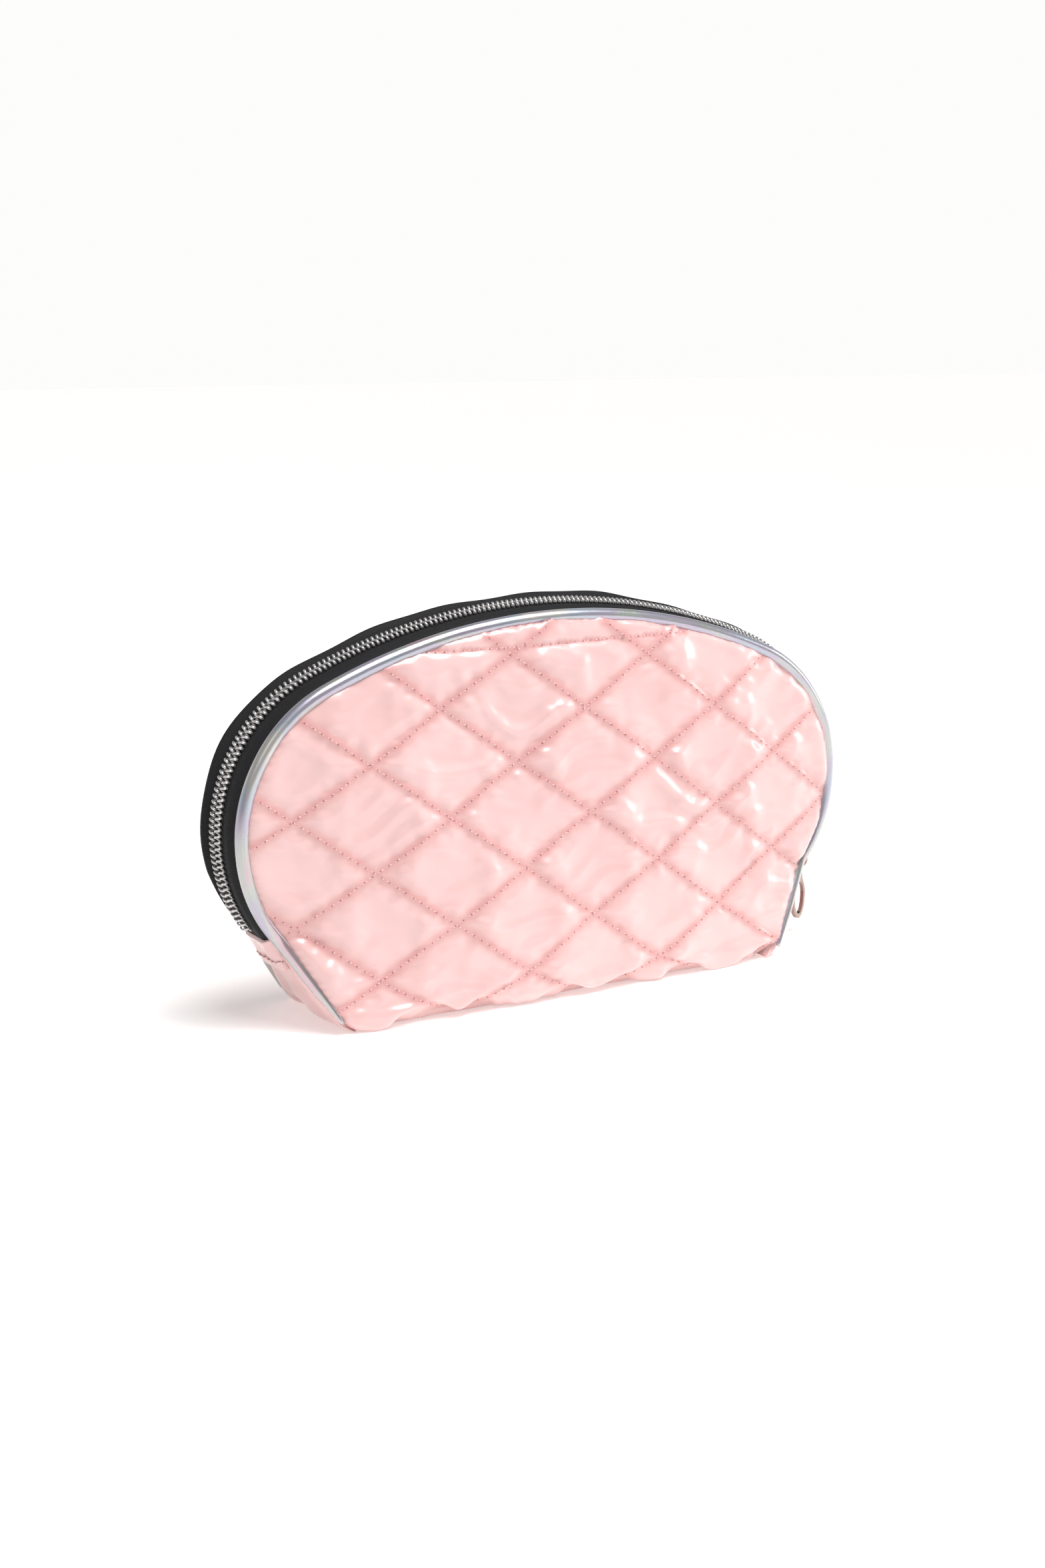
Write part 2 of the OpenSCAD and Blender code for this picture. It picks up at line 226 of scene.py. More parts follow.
# One on the extra seam below the top, falling to nothing beside it
def onTopSeam(x, v, width):
    beyond = np.clip(np.abs(x) - quilt["topSeamX"], 0, None)
    return np.exp(-((v - bag["topZ"] + quilt["topSeam"]) / width) ** 2 - (beyond / 0.004) ** 2)


# Seams are drawn up where they meet the base, so that its edge is wavy
def bottomLift(x, v, p, q):
    dp, dq = seamSteps(p, q)
    near = np.exp(-(np.minimum(dp, dq) / 3.6) ** 2)
    return 0.0030 * near * np.exp(-(np.clip(v, -0.002, None) / 0.007) ** 2) * (v < 0.02)


# Soft folds: long level ones across each diamond and short puckers at right angles to the seams
folds = {
    "level": 0.00120,   # height of the long folds
    "spacing": 0.0108,  # from one long fold to the next
    "pucker": 0.00022,  # height of the puckers
    "puckerL": 0.0056,  # from one pucker to the next
    "step": 0.00135,    # about one mesh step along a seam
    "puff": 0.0024,     # the wadding's own rise
    "shoulder": 3.3,    # mesh steps from a seam to the top of the rise
}


def wrinkles(x, v, p, q, seed):
    warp = 0.55 * np.sin(x * 95 + seed) + 0.35 * np.sin(x * 47 - v * 120 + seed * 2.3)
    warp = warp + 0.2 * np.sin(x * 210 + v * 60)
    u = v / folds["spacing"] + warp
    crest = (0.5 + 0.5 * np.cos(2 * math.pi * u)) ** 2
    patch = np.sin(x * 61 + 1.7 * seed) * np.sin(v * 83 + 0.9 * seed) + 0.7 * np.sin(x * 33 + v * 71 + seed)
    share = np.clip(0.45 + 0.6 * patch, 0, 1.15)
    dp, dq = seamSteps(p, q)
    edge = 1 - np.exp(-(np.minimum(dp, dq) / 2.5) ** 2)
    level = folds["level"] * crest * share * edge
    rate = 2 * math.pi * folds["step"] / folds["puckerL"]
    jitter = 0.9 * np.sin(x * 130 + v * 90 + seed)
    nearP = np.exp(-((dp - 1.6) / 2.2) ** 2) * np.sin(q * rate + jitter)
    nearQ = np.exp(-((dq - 1.6) / 2.2) ** 2) * np.sin(p * rate + jitter + 1.3)
    level = level * (1 - onTopSeam(x, v, 0.0022))
    shoulder = (1 - np.exp(-(np.minimum(dp, dq) / folds["shoulder"]) ** 2)) * (1 - onTopSeam(x, v, 0.0040))
    rim = 1 - np.exp(-(np.clip(insideBy(x, np.clip(v, 0, None)), 0, None) / 0.0035) ** 2)
    return (level + folds["pucker"] * (nearP + nearQ) + folds["puff"] * shoulder) * rim


# Evens out the free points of a cloth
def soften(points, edges, free, rounds):
    count = np.zeros(len(points))
    np.add.at(count, edges[:, 0], 1)
    np.add.at(count, edges[:, 1], 1)
    for _ in range(rounds):
        total = np.zeros_like(points)
        np.add.at(total, edges[:, 0], points[edges[:, 1]])
        np.add.at(total, edges[:, 1], points[edges[:, 0]])
        mean = total / count[:, None]
        points = np.where(free[:, None], 0.45 * points + 0.55 * mean, points)
    return points


# Outer cloth of one wall, laid out along the seams, then blown up between them
def quiltSheet(name, side, seed):
    cuts = quilt["cuts"]
    reach = 5 * cuts
    p, q = np.meshgrid(np.arange(-9 * cuts, reach + 1), np.arange(-3 * cuts, 9 * cuts + 1), indexing="ij")
    rng = np.random.default_rng(seed)
    x, v = quiltToSheet(p / cuts, q / cuts)
    if side > 0:
        x = -x
    margin = np.where(v > 0, insideBy(x, np.maximum(v, 0.0)), insideBy(x, np.zeros_like(v)))
    keep = (margin > 0.0004) & (v > -0.0075)
    full = keep[:-1, :-1] & keep[1:, :-1] & keep[1:, 1:] & keep[:-1, 1:]
    used = np.zeros_like(keep)
    used[:-1, :-1] |= full
    used[1:, :-1] |= full
    used[1:, 1:] |= full
    used[:-1, 1:] |= full
    index = -np.ones(keep.shape, int)
    index[used] = np.arange(used.sum())
    x, v, p, q = x[used], v[used], p[used], q[used]
    corners = (index[:-1, :-1], index[1:, :-1], index[1:, 1:], index[:-1, 1:])
    faces = np.stack([corner[full] for corner in corners], 1)
    edges = np.sort(np.concatenate([faces[:, [k, (k + 1) % 4]] for k in range(4)]), 1)
    pairs, count = np.unique(edges, axis=0, return_counts=True)
    rim = np.unique(pairs[count == 1])
    for _ in range(2):  # the rim is drawn out to the outline
        high = np.maximum(v[rim], 0.0)
        gap = insideBy(x[rim], high) - 0.0003
        gx = (insideBy(x[rim] + 1e-5, high) - insideBy(x[rim] - 1e-5, high)) / 2e-5
        gz = (insideBy(x[rim], high + 1e-5) - insideBy(x[rim], high - 1e-5)) / 2e-5
        gap = np.where((gap < 0.0032) & (v[rim] > 0.0005), gap, 0)
        x[rim] -= gx * gap
        v[rim] -= np.where(v[rim] > 0.004, gz * gap, 0)
    base = wallPoint(x, v, side, seed)
    ahead = wallPoint(x + 0.0005, v, side, seed) - base
    above = wallPoint(x, v + 0.0005, side, seed) - base
    out = np.cross(ahead, above) * side * -1.0
    out /= np.linalg.norm(out, axis=1)[:, None]
    alongP, alongQ = (q % cuts) == 0, (p % cuts) == 0
    onSeam = alongP | alongQ
    lift = np.where(alongP, np.sin(math.pi * (p % cuts) / cuts) ** 2, 0) + np.where(
        alongQ, np.sin(math.pi * (q % cuts) / cuts) ** 2, 0)
    topEdge = bag["topZ"] - quilt["topSeam"]
    onTop = (np.abs(v - topEdge) < 0.00062) & (np.abs(x) < quilt["topSeamX"])
    v = np.where(onTop, topEdge, v)
    start = base + out * (lift * quilt["seamRise"] * onSeam)[:, None]
    f = faces[0]
    n = np.cross(base[f[1]] - base[f[0]], base[f[3]] - base[f[0]])
    if n[1] * side < 0:
        faces = faces[:, ::-1]
    held = onSeam | onTop
    held[rim] = True
    inner = 1 - np.abs(((p / cuts) % 1) * 2 - 1) ** 3
    inner = inner * (1 - np.abs(((q / cuts) % 1) * 2 - 1) ** 3)
    start[:, 2] += bottomLift(x, v, p, q)
    drift = rng.normal(0, 0.00012, len(x)) * ~held
    start = start + out * (inner * 0.0012 * ~held + drift)[:, None]
    end = blowUp(name, start, faces, held, seed)
    move = end - start
    far = np.linalg.norm(move, axis=1)
    limit = quilt["cap"] * np.tanh(far / quilt["cap"]) / np.maximum(far, 1e-9)
    end = start + move * limit[:, None]
    end = soften(end, edges, ~held, 2)
    end += out * (wrinkles(x, v, p, q, seed) * ~held)[:, None]
    end[:, 2] = np.maximum(end[:, 2], 0.0003)
    # one on the seams and falling off beside them; the cloth's finish paints valley shade with it and puts its
    # puckers there
    seamwards = np.maximum(held, np.exp(-(np.minimum(*seamSteps(p, q)) / 1.5) ** 2))
    return {"x": x, "p": p, "q": q, "base": base, "out": out, "cloth": end, "faces": faces,
            "inner": inner, "seamwards": seamwards, "pairs": pairs[count == 1]}


# Cloth held along its seams and pushed out by the wadding, worked out ten times larger
def blowUp(name, start, faces, held, seed):
    big = 10.0
    piece = softPiece(name + "_cloth", start * big, faces.tolist())
    group = piece.vertex_groups.new(name="sewn")
    group.add([int(k) for k in np.nonzero(held)[0]], 1.0, "REPLACE")
    cloth = piece.modifiers.new("cloth", "CLOTH")
    settings = cloth.settings
    settings.quality = 6
    settings.mass = 0.3
    settings.tension_stiffness = 18
    settings.compression_stiffness = 18
    settings.shear_stiffness = 8
    settings.bending_stiffness = 0.4
    settings.vertex_group_mass = "sewn"
    settings.pin_stiffness = 1
    settings.shrink_min = -quilt["spare"]
    settings.use_pressure = True
    settings.uniform_pressure_force = quilt["push"]
    settings.effector_weights.gravity = 0
    cloth.collision_settings.use_collision = False
    cloth.point_cache.frame_start = 1
    cloth.point_cache.frame_end = 24
    scene = bpy.context.scene
    for step in range(1, 25):
        scene.frame_set(step)
    shown = piece.evaluated_get(bpy.context.evaluated_depsgraph_get())
    end = coordsOf(shown.data) / big
    scene.frame_set(1)
    bpy.data.objects.remove(piece, do_unlink=True)
    print(name, "cloth rises", round(float(np.linalg.norm(end - start, axis=1).max()) * 1000, 2), "mm")
    return end


# Closed padded wall: quilted cloth outside, lining inside, bound together round the rim
def quiltWall(name, side, seed):
    sheet = quiltSheet(name, side, seed)
    count = len(sheet["x"])
    back = sheet["base"] - sheet["out"] * (quilt["lining"] + 0.0007 * sheet["inner"])[:, None]
    back[:, 2] = np.maximum(back[:, 2], 0.0008)
    faces = sheet["faces"]
    half = {tuple(e) for k in range(4) for e in faces[:, [k, (k + 1) % 4]]}
    rim = []
    for a, b in sheet["pairs"]:
        a, b = (a, b) if (a, b) in half else (b, a)
        rim.append((int(b), int(a), int(a) + count, int(b) + count))
    every = faces.tolist() + (faces[:, ::-1] + count).tolist() + rim
    piece = softPiece(name, np.concatenate([sheet["cloth"], back]), every)
    # the seam mask, which carries the painted valley shade and the puckers
    near = piece.data.attributes.new("seam", "FLOAT", "POINT")
    near.data.foreach_set("value", np.concatenate([sheet["seamwards"], np.zeros(count)]).astype(np.float32))
    layers = np.zeros(len(every), np.int32)
    layers[len(faces):] = 1
    piece.data.polygons.foreach_set("material_index", layers)
    fine = piece.modifiers.new("fine", "SUBSURF")
    fine.levels = fine.render_levels = 1
    applyAll(piece)
    tree = BVHTree.FromPolygons([v.co for v in piece.data.vertices],
                                [f.vertices for f in piece.data.polygons if f.material_index == 0])
    inner = piece.vertex_groups.new(name="inner")
    outerSet = set()
    for f in piece.data.polygons:
        if f.material_index == 0:
            outerSet.update(f.vertices)
    inner.add([k for k in range(len(piece.data.vertices)) if k not in outerSet], 1.0, "REPLACE")
    thin = piece.modifiers.new("thin", "DECIMATE")
    thin.ratio = 0.6
    thin.vertex_group = "inner"
    thin.vertex_group_factor = 100
    applyAll(piece)
    piece.vertex_groups.clear()
    piece.data.polygons.foreach_set("use_smooth", [True] * len(piece.data.polygons))
    print(name, len(piece.data.polygons), "faces")
    return piece, tree, sheet


frontQuilt, frontTree, frontSheet = quiltWall("front_quilt", -1, 3)
backQuilt, backTree, backSheet = quiltWall("back_quilt", 1, 8)

# Thread along the seams
thread = {
    "pitch": 0.0030,   # from one needle hole to the next
    "length": 0.0023,  # what shows of each stitch
    "radius": 0.00028,
    "sides": 5,
    "rise": 0.00042,   # how far a stitch stands out
    "hole": 0.00027,   # radius of the dimple that the needle leaves
    "holeBack": 0.00028,
}


# One short bent length of thread between two points
def stitch(start, end, normal, points, faces, holes):
    along = (end - start)
    length = along.length
    if length < 1e-6:
        return
    along /= length
    across = normal.cross(along).normalized()
    up = along.cross(across)
    first = len(points)
    rings = ((0.0, -0.9, 0.45), (0.12, 0.35, 0.9), (0.5, 0.9, 1.0), (0.88, 0.35, 0.9), (1.0, -0.9, 0.45))
    sides = thread["sides"]
    for t, h, r in rings:
        mid = start + along * (length * t) + up * (thread["rise"] * h)
        for k in range(sides):
            a = 2 * math.pi * k / sides
            points.append(mid + (across * math.cos(a) + up * math.sin(a)) * (thread["radius"] * r))
    for ring in range(len(rings) - 1):
        for k in range(sides):
            a, b = first + ring * sides + k, first + ring * sides + (k + 1) % sides
            faces.append((a, a + sides, b + sides, b))
    faces.append(tuple(first + k for k in range(sides)))
    last = first + (len(rings) - 1) * sides
    faces.append(tuple(last + k for k in reversed(range(sides))))
    # dimple that the needle leaves; its faces, listed in holes, are coloured as painted shade
    first = len(points)
    hole = start - along * thread["holeBack"]
    for k in range(6):
        a = 2 * math.pi * k / 6
        points.append(hole + up * 0.00004 + (along * math.cos(a) + across * math.sin(a)) * thread["hole"])
    points.append(hole + up * 0.00018)
    points.append(hole - up * 0.00030)
    for k in range(6):
        holes.append(len(faces))
        faces.append((first + k, first + (k + 1) % 6, first + 6))
        holes.append(len(faces))
        faces.append((first + (k + 1) % 6, first + k, first + 7))


# A row of stitches on a surface along a line of rough points
def stitchRow(line, tree, points, faces, holes, phase=0.0):
    line = [Vector(p) for p in line]
    onCloth = []
    for p in line:
        hit, normal, _, gap = tree.find_nearest(p)
        if hit is None or gap > 0.006:
            onCloth.append(None)
        else:
            onCloth.append((hit, normal))
    travel, place = 0.0, [0.0]
    for a, b in zip(line, line[1:]):
        travel += (b - a).length
        place.append(travel)
    place = np.array(place)
    s = phase
    while s + thread["length"] < travel:
        ends = []
        for t in (s, s + thread["length"]):
            k = int(np.searchsorted(place, t, side="right")) - 1
            k = min(max(k, 0), len(line) - 2)
            if onCloth[k] is None or onCloth[k + 1] is None:
                break
            f = (t - place[k]) / max(place[k + 1] - place[k], 1e-9)
            ends.append((onCloth[k][0].lerp(onCloth[k + 1][0], f), onCloth[k][1].lerp(onCloth[k + 1][1], f)))
        if len(ends) == 2:
            stitch(ends[0][0], ends[1][0], (ends[0][1] + ends[1][1]).normalized(), points, faces, holes)
        s += thread["pitch"]


def threadPiece(name, points, faces, holes):
    piece = softPiece(name, points, faces)
    index = np.zeros(len(faces), np.int32)
    # the needle holes take the second finish, painted shade for their insides
    index[holes] = 1
    piece.data.polygons.foreach_set("material_index", index)
    return piece


def quiltThread(name, sheet, tree, side, seed):
    points, faces, holes = [], [], []
    cuts = quilt["cuts"]
    rng = random.Random(seed)
    for key, other in (("p", "q"), ("q", "p")):
        for value in np.unique(sheet[key][(sheet[key] % cuts) == 0]):
            chosen = np.nonzero(sheet[key] == value)[0]
            chosen = chosen[np.argsort(sheet[other][chosen])]
            if len(chosen) < 4:
                continue
            run = [chosen[0]]
            for k in chosen[1:]:
                if sheet[other][k] - sheet[other][run[-1]] > 1:
                    stitchRow(sheet["cloth"][run], tree, points, faces, holes, rng.uniform(0, 0.002))
                    run = []
                run.append(k)
            if len(run) > 4:
                stitchRow(sheet["cloth"][run], tree, points, faces, holes, rng.uniform(0, 0.002))
    topEdge = bag["topZ"] - quilt["topSeam"]
    xs = np.arange(-quilt["topSeamX"], quilt["topSeamX"], 0.0012)
    line = wallPoint(xs, np.full_like(xs, topEdge), side, seed)
    stitchRow(line, tree, points, faces, holes)
    return threadPiece(name, points, faces, holes)


frontThread = quiltThread("front_quilt_thread", frontSheet, frontTree, -1, 3)
backThread = quiltThread("back_quilt_thread", backSheet, backTree, 1, 8)
print("quilts sewn")


# A closed strip swept along places on the zip's line; the section is (outwards, depth) pairs
def sweep(name, stations, section):
    points, faces, uv = [], [], []
    n = len(section)
    run = 0.0
    for k, (origin, outward, deep, scale) in enumerate(stations):
        if k:
            run += (Vector(origin) - Vector(stations[k - 1][0])).length
        for m, (o, d) in enumerate(section):
            points.append([origin[c] + scale * (outward[c] * o + deep[c] * d) for c in range(3)])
            uv.append((run, m / n))
    for k in range(len(stations) - 1):
        for m in range(n):
            a, b = k * n + m, k * n + (m + 1) % n
            faces.append((a, a + n, b + n, b))
    faces.append(tuple(range(n)))
    faces.append(tuple((len(stations) - 1) * n + m for m in reversed(range(n))))
    return softPiece(name, points, faces, uv)


# Stations on the zip's line from s0 to s1; side is -1 at the front
def zipStations(s0, s1, side, step=0.0015, depth=None, wobble=0.0):
    stations = []
    count = max(2, int((s1 - s0) / step))
    for k in range(count + 1):
        s = s0 + (s1 - s0) * k / count
        x, z, nx, nz = zipPlace(s)
        low = min(max((bag["foldZ"] - z) / bag["foldZ"], 0), 1)
        y = (bag["pipeY"] + low * (bag["baseY"] - bag["pipeR"] - bag["pipeY"])) if depth is None else depth
        y += wobble * math.sin(s * 160) * math.sin(s * 53)
        stations.append(((x, side * y, z), (nx, 0, nz), (0, side, 0), 1.0))
    return stations


piping = {
    "foot": 0.0035,    # height at which its ends are sewn in
    "taperL": 0.012,   # its ends thin out over this length
    "sides": 22,
    "flat": 0.10,      # the covering pulls the tube slightly oval
    "tuck": 0.36,      # how much thinner it looks towards the base
    "wobble": 0.00012,
}


def pipingTube(name, side):
    overhang = sideL - piping["foot"] * sideL / bag["foldZ"]
    stations = zipStations(-overhang, zipL + overhang, side, 0.0014, wobble=piping["wobble"])
    total = zipL + 2 * overhang
    shaped = []
    for k, (origin, outward, deep, _) in enumerate(stations):
        s = total * k / (len(stations) - 1)
        end = min(s, total - s) / piping["taperL"]
        low = min(max((bag["foldZ"] - origin[2]) / bag["foldZ"], 0), 1)
        shrink = (0.45 + 0.55 * min(1.0, end) ** 0.7) * (1 - piping["tuck"] * low ** 0.6)
        place = [origin[c] - outward[c] * 0.0007 * low for c in range(3)]
        shaped.append((place, outward, deep, shrink))
    r = bag["pipeR"]
    section = []
    for k in range(piping["sides"]):
        a = 2 * math.pi * k / piping["sides"]
        section.append((r * math.cos(a) * (1 - piping["flat"] * math.sin(a) ** 2), r * math.sin(a)))
    return sweep(name, shaped, section)


frontPiping = pipingTube("front_piping_cover", -1)
backPiping = pipingTube("back_piping_cover", 1)

# Zip tapes, their coils and the bound seams inside
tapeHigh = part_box("back_zip_tape")[1]
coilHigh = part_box("back_coil")[1]
zipParts = {
    "tapeIn": 0.0005,              # tape starts this far from the middle
    "tapeOut": tapeHigh[1],
    "tapeT": 0.0003,               # half its thickness
    "ribs": 13,                    # points across it
    "arch": tapeHigh[2] - bag["topZ"] - 0.0003,   # the zip stands out this far past the piping's middle
    "pitch": 0.00168,              # from one turn of the coil to the next
    "wire": 0.00037,               # radius of the coil's wire
    "wireSides": 6,
    "coilIn": 0.00034,             # turns reach this near to the middle
    "coilOut": coilHigh[1] + 0.00010,
    "coilTop": 0.0022,
    "slack": 0.0036,               # the back tape stands up this much behind the coil
    "rightRest": 0.0135,           # coil starts this far from the zip's right end
    "leftRest": 0.0018,
    "bindIn": 0.0058,
    "bindDepth": 0.0054,
    "bindT": 0.0020,
}


# How far out the tape lies, from its sewn edge to the middle of the zip
def zipArch(y, bulge=0.0):
    t = min(1.0, max(0.0, (zipParts["tapeOut"] - y) / 0.0036))
    u = min(1.0, max(0.0, (y - 0.0048) / (zipParts["tapeOut"] - 0.0048)))
    return zipParts["arch"] * (t * t * (3 - 2 * t)) + bulge * math.sin(math.pi * u) ** 2


def tapeStrip(name, side):
    t = zipParts["tapeT"]
    ys = np.linspace(zipParts["tapeIn"], zipParts["tapeOut"], zipParts["ribs"])
    stations = zipStations(0.0003, zipL - 0.0003, side, 0.0018, depth=0.0)
    rise = [zipArch(y) for y in ys]
    top = [(t + r, y) for y, r in zip(ys, rise)]
    under = [(r - t, y) for y, r in zip(ys, rise)]
    piece = sweep(name, stations, top + under[::-1])
    if side > 0:  # the far tape is slack and stands up behind the coil
        ring = 2 * len(ys)
        for k, (_, outward, _, _) in enumerate(stations):
            s = zipL * k / (len(stations) - 1)
            share = min(1.0, min(s, zipL - s) / 0.022) * (1 + 0.10 * math.sin(s * 95) + 0.06 * math.sin(s * 231))
            for m in range(ring):
                y = ys[m] if m < len(ys) else ys[ring - 1 - m]
                up = zipParts["slack"] * share * (zipArch(y, 1.0) - zipArch(y))
                vertex = piece.data.vertices[k * ring + m]
                vertex.co.x += outward[0] * up
                vertex.co.z += outward[2] * up
    return piece


frontTape = tapeStrip("front_tape_woven", -1)
backTape = tapeStrip("back_tape_woven", 1)


# One row of the coil, a flattened spiral sewn to its tape
def coilSpiral(name, side, offset):
    o, i, top = zipParts["coilOut"], zipParts["coilIn"], zipParts["coilTop"]
    w = zipParts["wire"]
    turn = [(w + 0.0003, o - w, 0.0), (0.0013, o - w * 0.6, 0.04), (top - w, o - 0.0009, 0.10),
            (top - w * 0.6, (o + i) / 2, 0.22), (top - w * 1.3, i + 0.0008, 0.34), (0.0012, i + w * 1.05, 0.46),
            (0.00085, i + 0.0008, 0.60), (0.0007, (o + i) / 2, 0.74), (0.00066, o - 0.0010, 0.88)]
    s0, s1 = zipParts["rightRest"], zipL - zipParts["leftRest"]
    turns = int((s1 - s0) / zipParts["pitch"])
    path = []
    for k in range(turns):
        for off, y, share in turn:
            s = s0 + (k + share + offset) * zipParts["pitch"]
            x, z, nx, nz = zipPlace(s)
            off += zipParts["arch"]
            path.append(Vector((x + nx * off, side * y, z + nz * off)))
    points, faces = [], []
    sides = zipParts["wireSides"]
    for k, p in enumerate(path):  # one ring of points round the wire
        along = (path[min(k + 1, len(path) - 1)] - path[max(k - 1, 0)]).normalized()
        _, _, nx, nz = zipPlace(s0 + k / len(turn) * zipParts["pitch"])
        lengthwise = Vector((-nz, 0, nx))
        u = (lengthwise - along * lengthwise.dot(along)).normalized()
        v = along.cross(u)
        for m in range(sides):
            a = 2 * math.pi * (m + 0.5) / sides
            points.append(p + u * (w * 1.12 * math.cos(a)) + v * (w * 0.92 * math.sin(a)))
    for k in range(len(path) - 1):
        for m in range(sides):
            a, b = k * sides + m, k * sides + (m + 1) % sides
            faces.append((a, b, b + sides, a + sides))
    faces.append(tuple(reversed(range(sides))))
    faces.append(tuple((len(path) - 1) * sides + m for m in range(sides)))
    return softPiece(name, points, faces)


frontCoil = coilSpiral("front_coil_spiral", -1, 0.0)
backCoil = coilSpiral("back_coil_spiral", 1, 0.5)


# The ribbon that binds the seam inside
def seamRibbon(name, side):
    stations = zipStations(0.0005, zipL - 0.0005, side, 0.0018, depth=0.0)
    o, y0, y1 = -0.0007, zipParts["tapeOut"] - zipParts["bindT"] - 0.0002, zipParts["tapeOut"] - 0.0003
    deep = zipParts["bindDepth"]
    section = [(o, y0), (o, y1), (o - deep * 0.5, y1 + 0.0001), (o - deep + 0.0006, y1),
               (o - deep, (y0 + y1) / 2), (o - deep + 0.0006, y0), (o - deep * 0.5, y0 - 0.0001)]
    return sweep(name, stations, section)


frontRibbon = seamRibbon("front_seam_ribbon", -1)
backRibbon = seamRibbon("back_seam_ribbon", 1)
print("piping and zip made")

# Gussets at the ends, each a padded strip folded up from the base
gusset = {
    "bulge": 0.0026,   # how far its middle stands out
    "rows": 44,
    "columns": 60,
    "crease": 0.0011,  # depth of its folds
    "creaseT": 0.0030,  # how wide a fold is
    "inward": 0.0034,  # distance from outer face to lining
    "top": 0.0292,     # level of its upper edge
}


def gussetFace(side, u, t, seed):
    # u runs from the front piping to the back one, t from the floor to the zip's end
    z = gusset["top"] * t
    half = bag["pipeY"] + (1 - t) * (bag["baseY"] - bag["pipeR"] - bag["pipeY"]) - 0.0012
    x = bag["baseX"] + (endX - bag["baseX"]) * z / bag["foldZ"]
    swollen = np.clip(1 - (np.abs(u)) ** 4, 0, 1)
    rise = gusset["bulge"] * swollen * np.sin(math.pi * np.clip(t * 0.94 + 0.03, 0, 1)) ** 0.6
    folds = np.zeros_like(u)
    upright = ((-0.55, 0.35, 1.0, 0.45), (0.28, -0.30, 1.3, 0.30), (0.75, 0.12, 0.8, 0.60))
    for centre, lean, deep, high in upright:
        d = (u - centre - lean * (t - high) + 0.04 * np.sin(t * 14 + seed)) * half / gusset["creaseT"]
        folds -= gusset["crease"] * deep * np.exp(-d * d) * np.exp(-((t - high) / 0.38) ** 2)
    for centre, deep in ((0.20, 1.0), (0.47, 0.7), (0.70, 0.4)):
        d = (t - centre - 0.05 * np.sin(u * 5 + seed * 2)) * gusset["top"] / 0.0022
        folds -= gusset["crease"] * deep * np.exp(-d * d) * (0.5 + 0.5 * np.sin(u * 4 + seed + centre * 9))
    off = rise + folds * swollen ** 0.5
    tuck = np.clip(1 - t / 0.13, 0, 1) ** 2 * 0.0035
    lean = math.hypot(endX - bag["baseX"], bag["foldZ"])
    nx, nz = bag["foldZ"] / lean, -(endX - bag["baseX"]) / lean
    y = u * half
    return np.stack([side * (x + nx * off - tuck), y, np.maximum(z + nz * off, 0.0004)], -1), side * nx, nz


def gussetPad(name, side, seed):
    u, t = np.meshgrid(np.linspace(-1, 1, gusset["columns"]), np.linspace(0, 1, gusset["rows"]), indexing="ij")
    outer, nx, nz = gussetFace(side, u, t, seed)
    inner = outer.copy()
    seamX = bag["baseX"] + (endX - bag["baseX"]) * gusset["top"] * t / bag["foldZ"]
    inner[..., 0] = side * seamX - nx * gusset["inward"]
    inner[..., 2] = np.maximum(gusset["top"] * t - nz * gusset["inward"] * 0.3, 0.001)
    inner[..., 1] *= 0.93
    c, r = u.shape
    index = np.arange(c * r).reshape(c, r)
    quads = np.stack([index[:-1, :-1], index[1:, :-1], index[1:, 1:], index[:-1, 1:]], -1).reshape(-1, 4)
    rimLoop = np.concatenate([index[:-1, 0], index[-1, :-1], index[:0:-1, -1], index[0, :0:-1]])
    n = c * r
    rim = [(int(a), int(b), int(b) + n, int(a) + n) for a, b in zip(rimLoop, np.roll(rimLoop, -1))]
    faces = quads.tolist() + (quads[:, ::-1] + n).tolist() + rim
    piece = softPiece(name, np.concatenate([outer.reshape(-1, 3), inner.reshape(-1, 3)]), faces)
    index = np.ones(len(faces), np.int32)
    index[:len(quads)] = 0
    index[2 * len(quads):] = 0
    piece.data.polygons.foreach_set("material_index", index)
    turnOutward(piece)
    fine = piece.modifiers.new("fine", "SUBSURF")
    fine.levels = fine.render_levels = 1
    applyAll(piece)
    return piece


rightGusset = gussetPad("right_gusset_pad", 1, 2)
leftGusset = gussetPad("left_gusset_pad", -1, 5)

# Folded tabs over the ends of the zip
tab = {
    "top": 0.0298,
    "high": 0.0095,
    "half": 0.0090,        # half its width
    "out": 0.0006,         # it lies this far out on the gusset
    "stitchDown": 0.0062,  # stitch line below its top edge
}


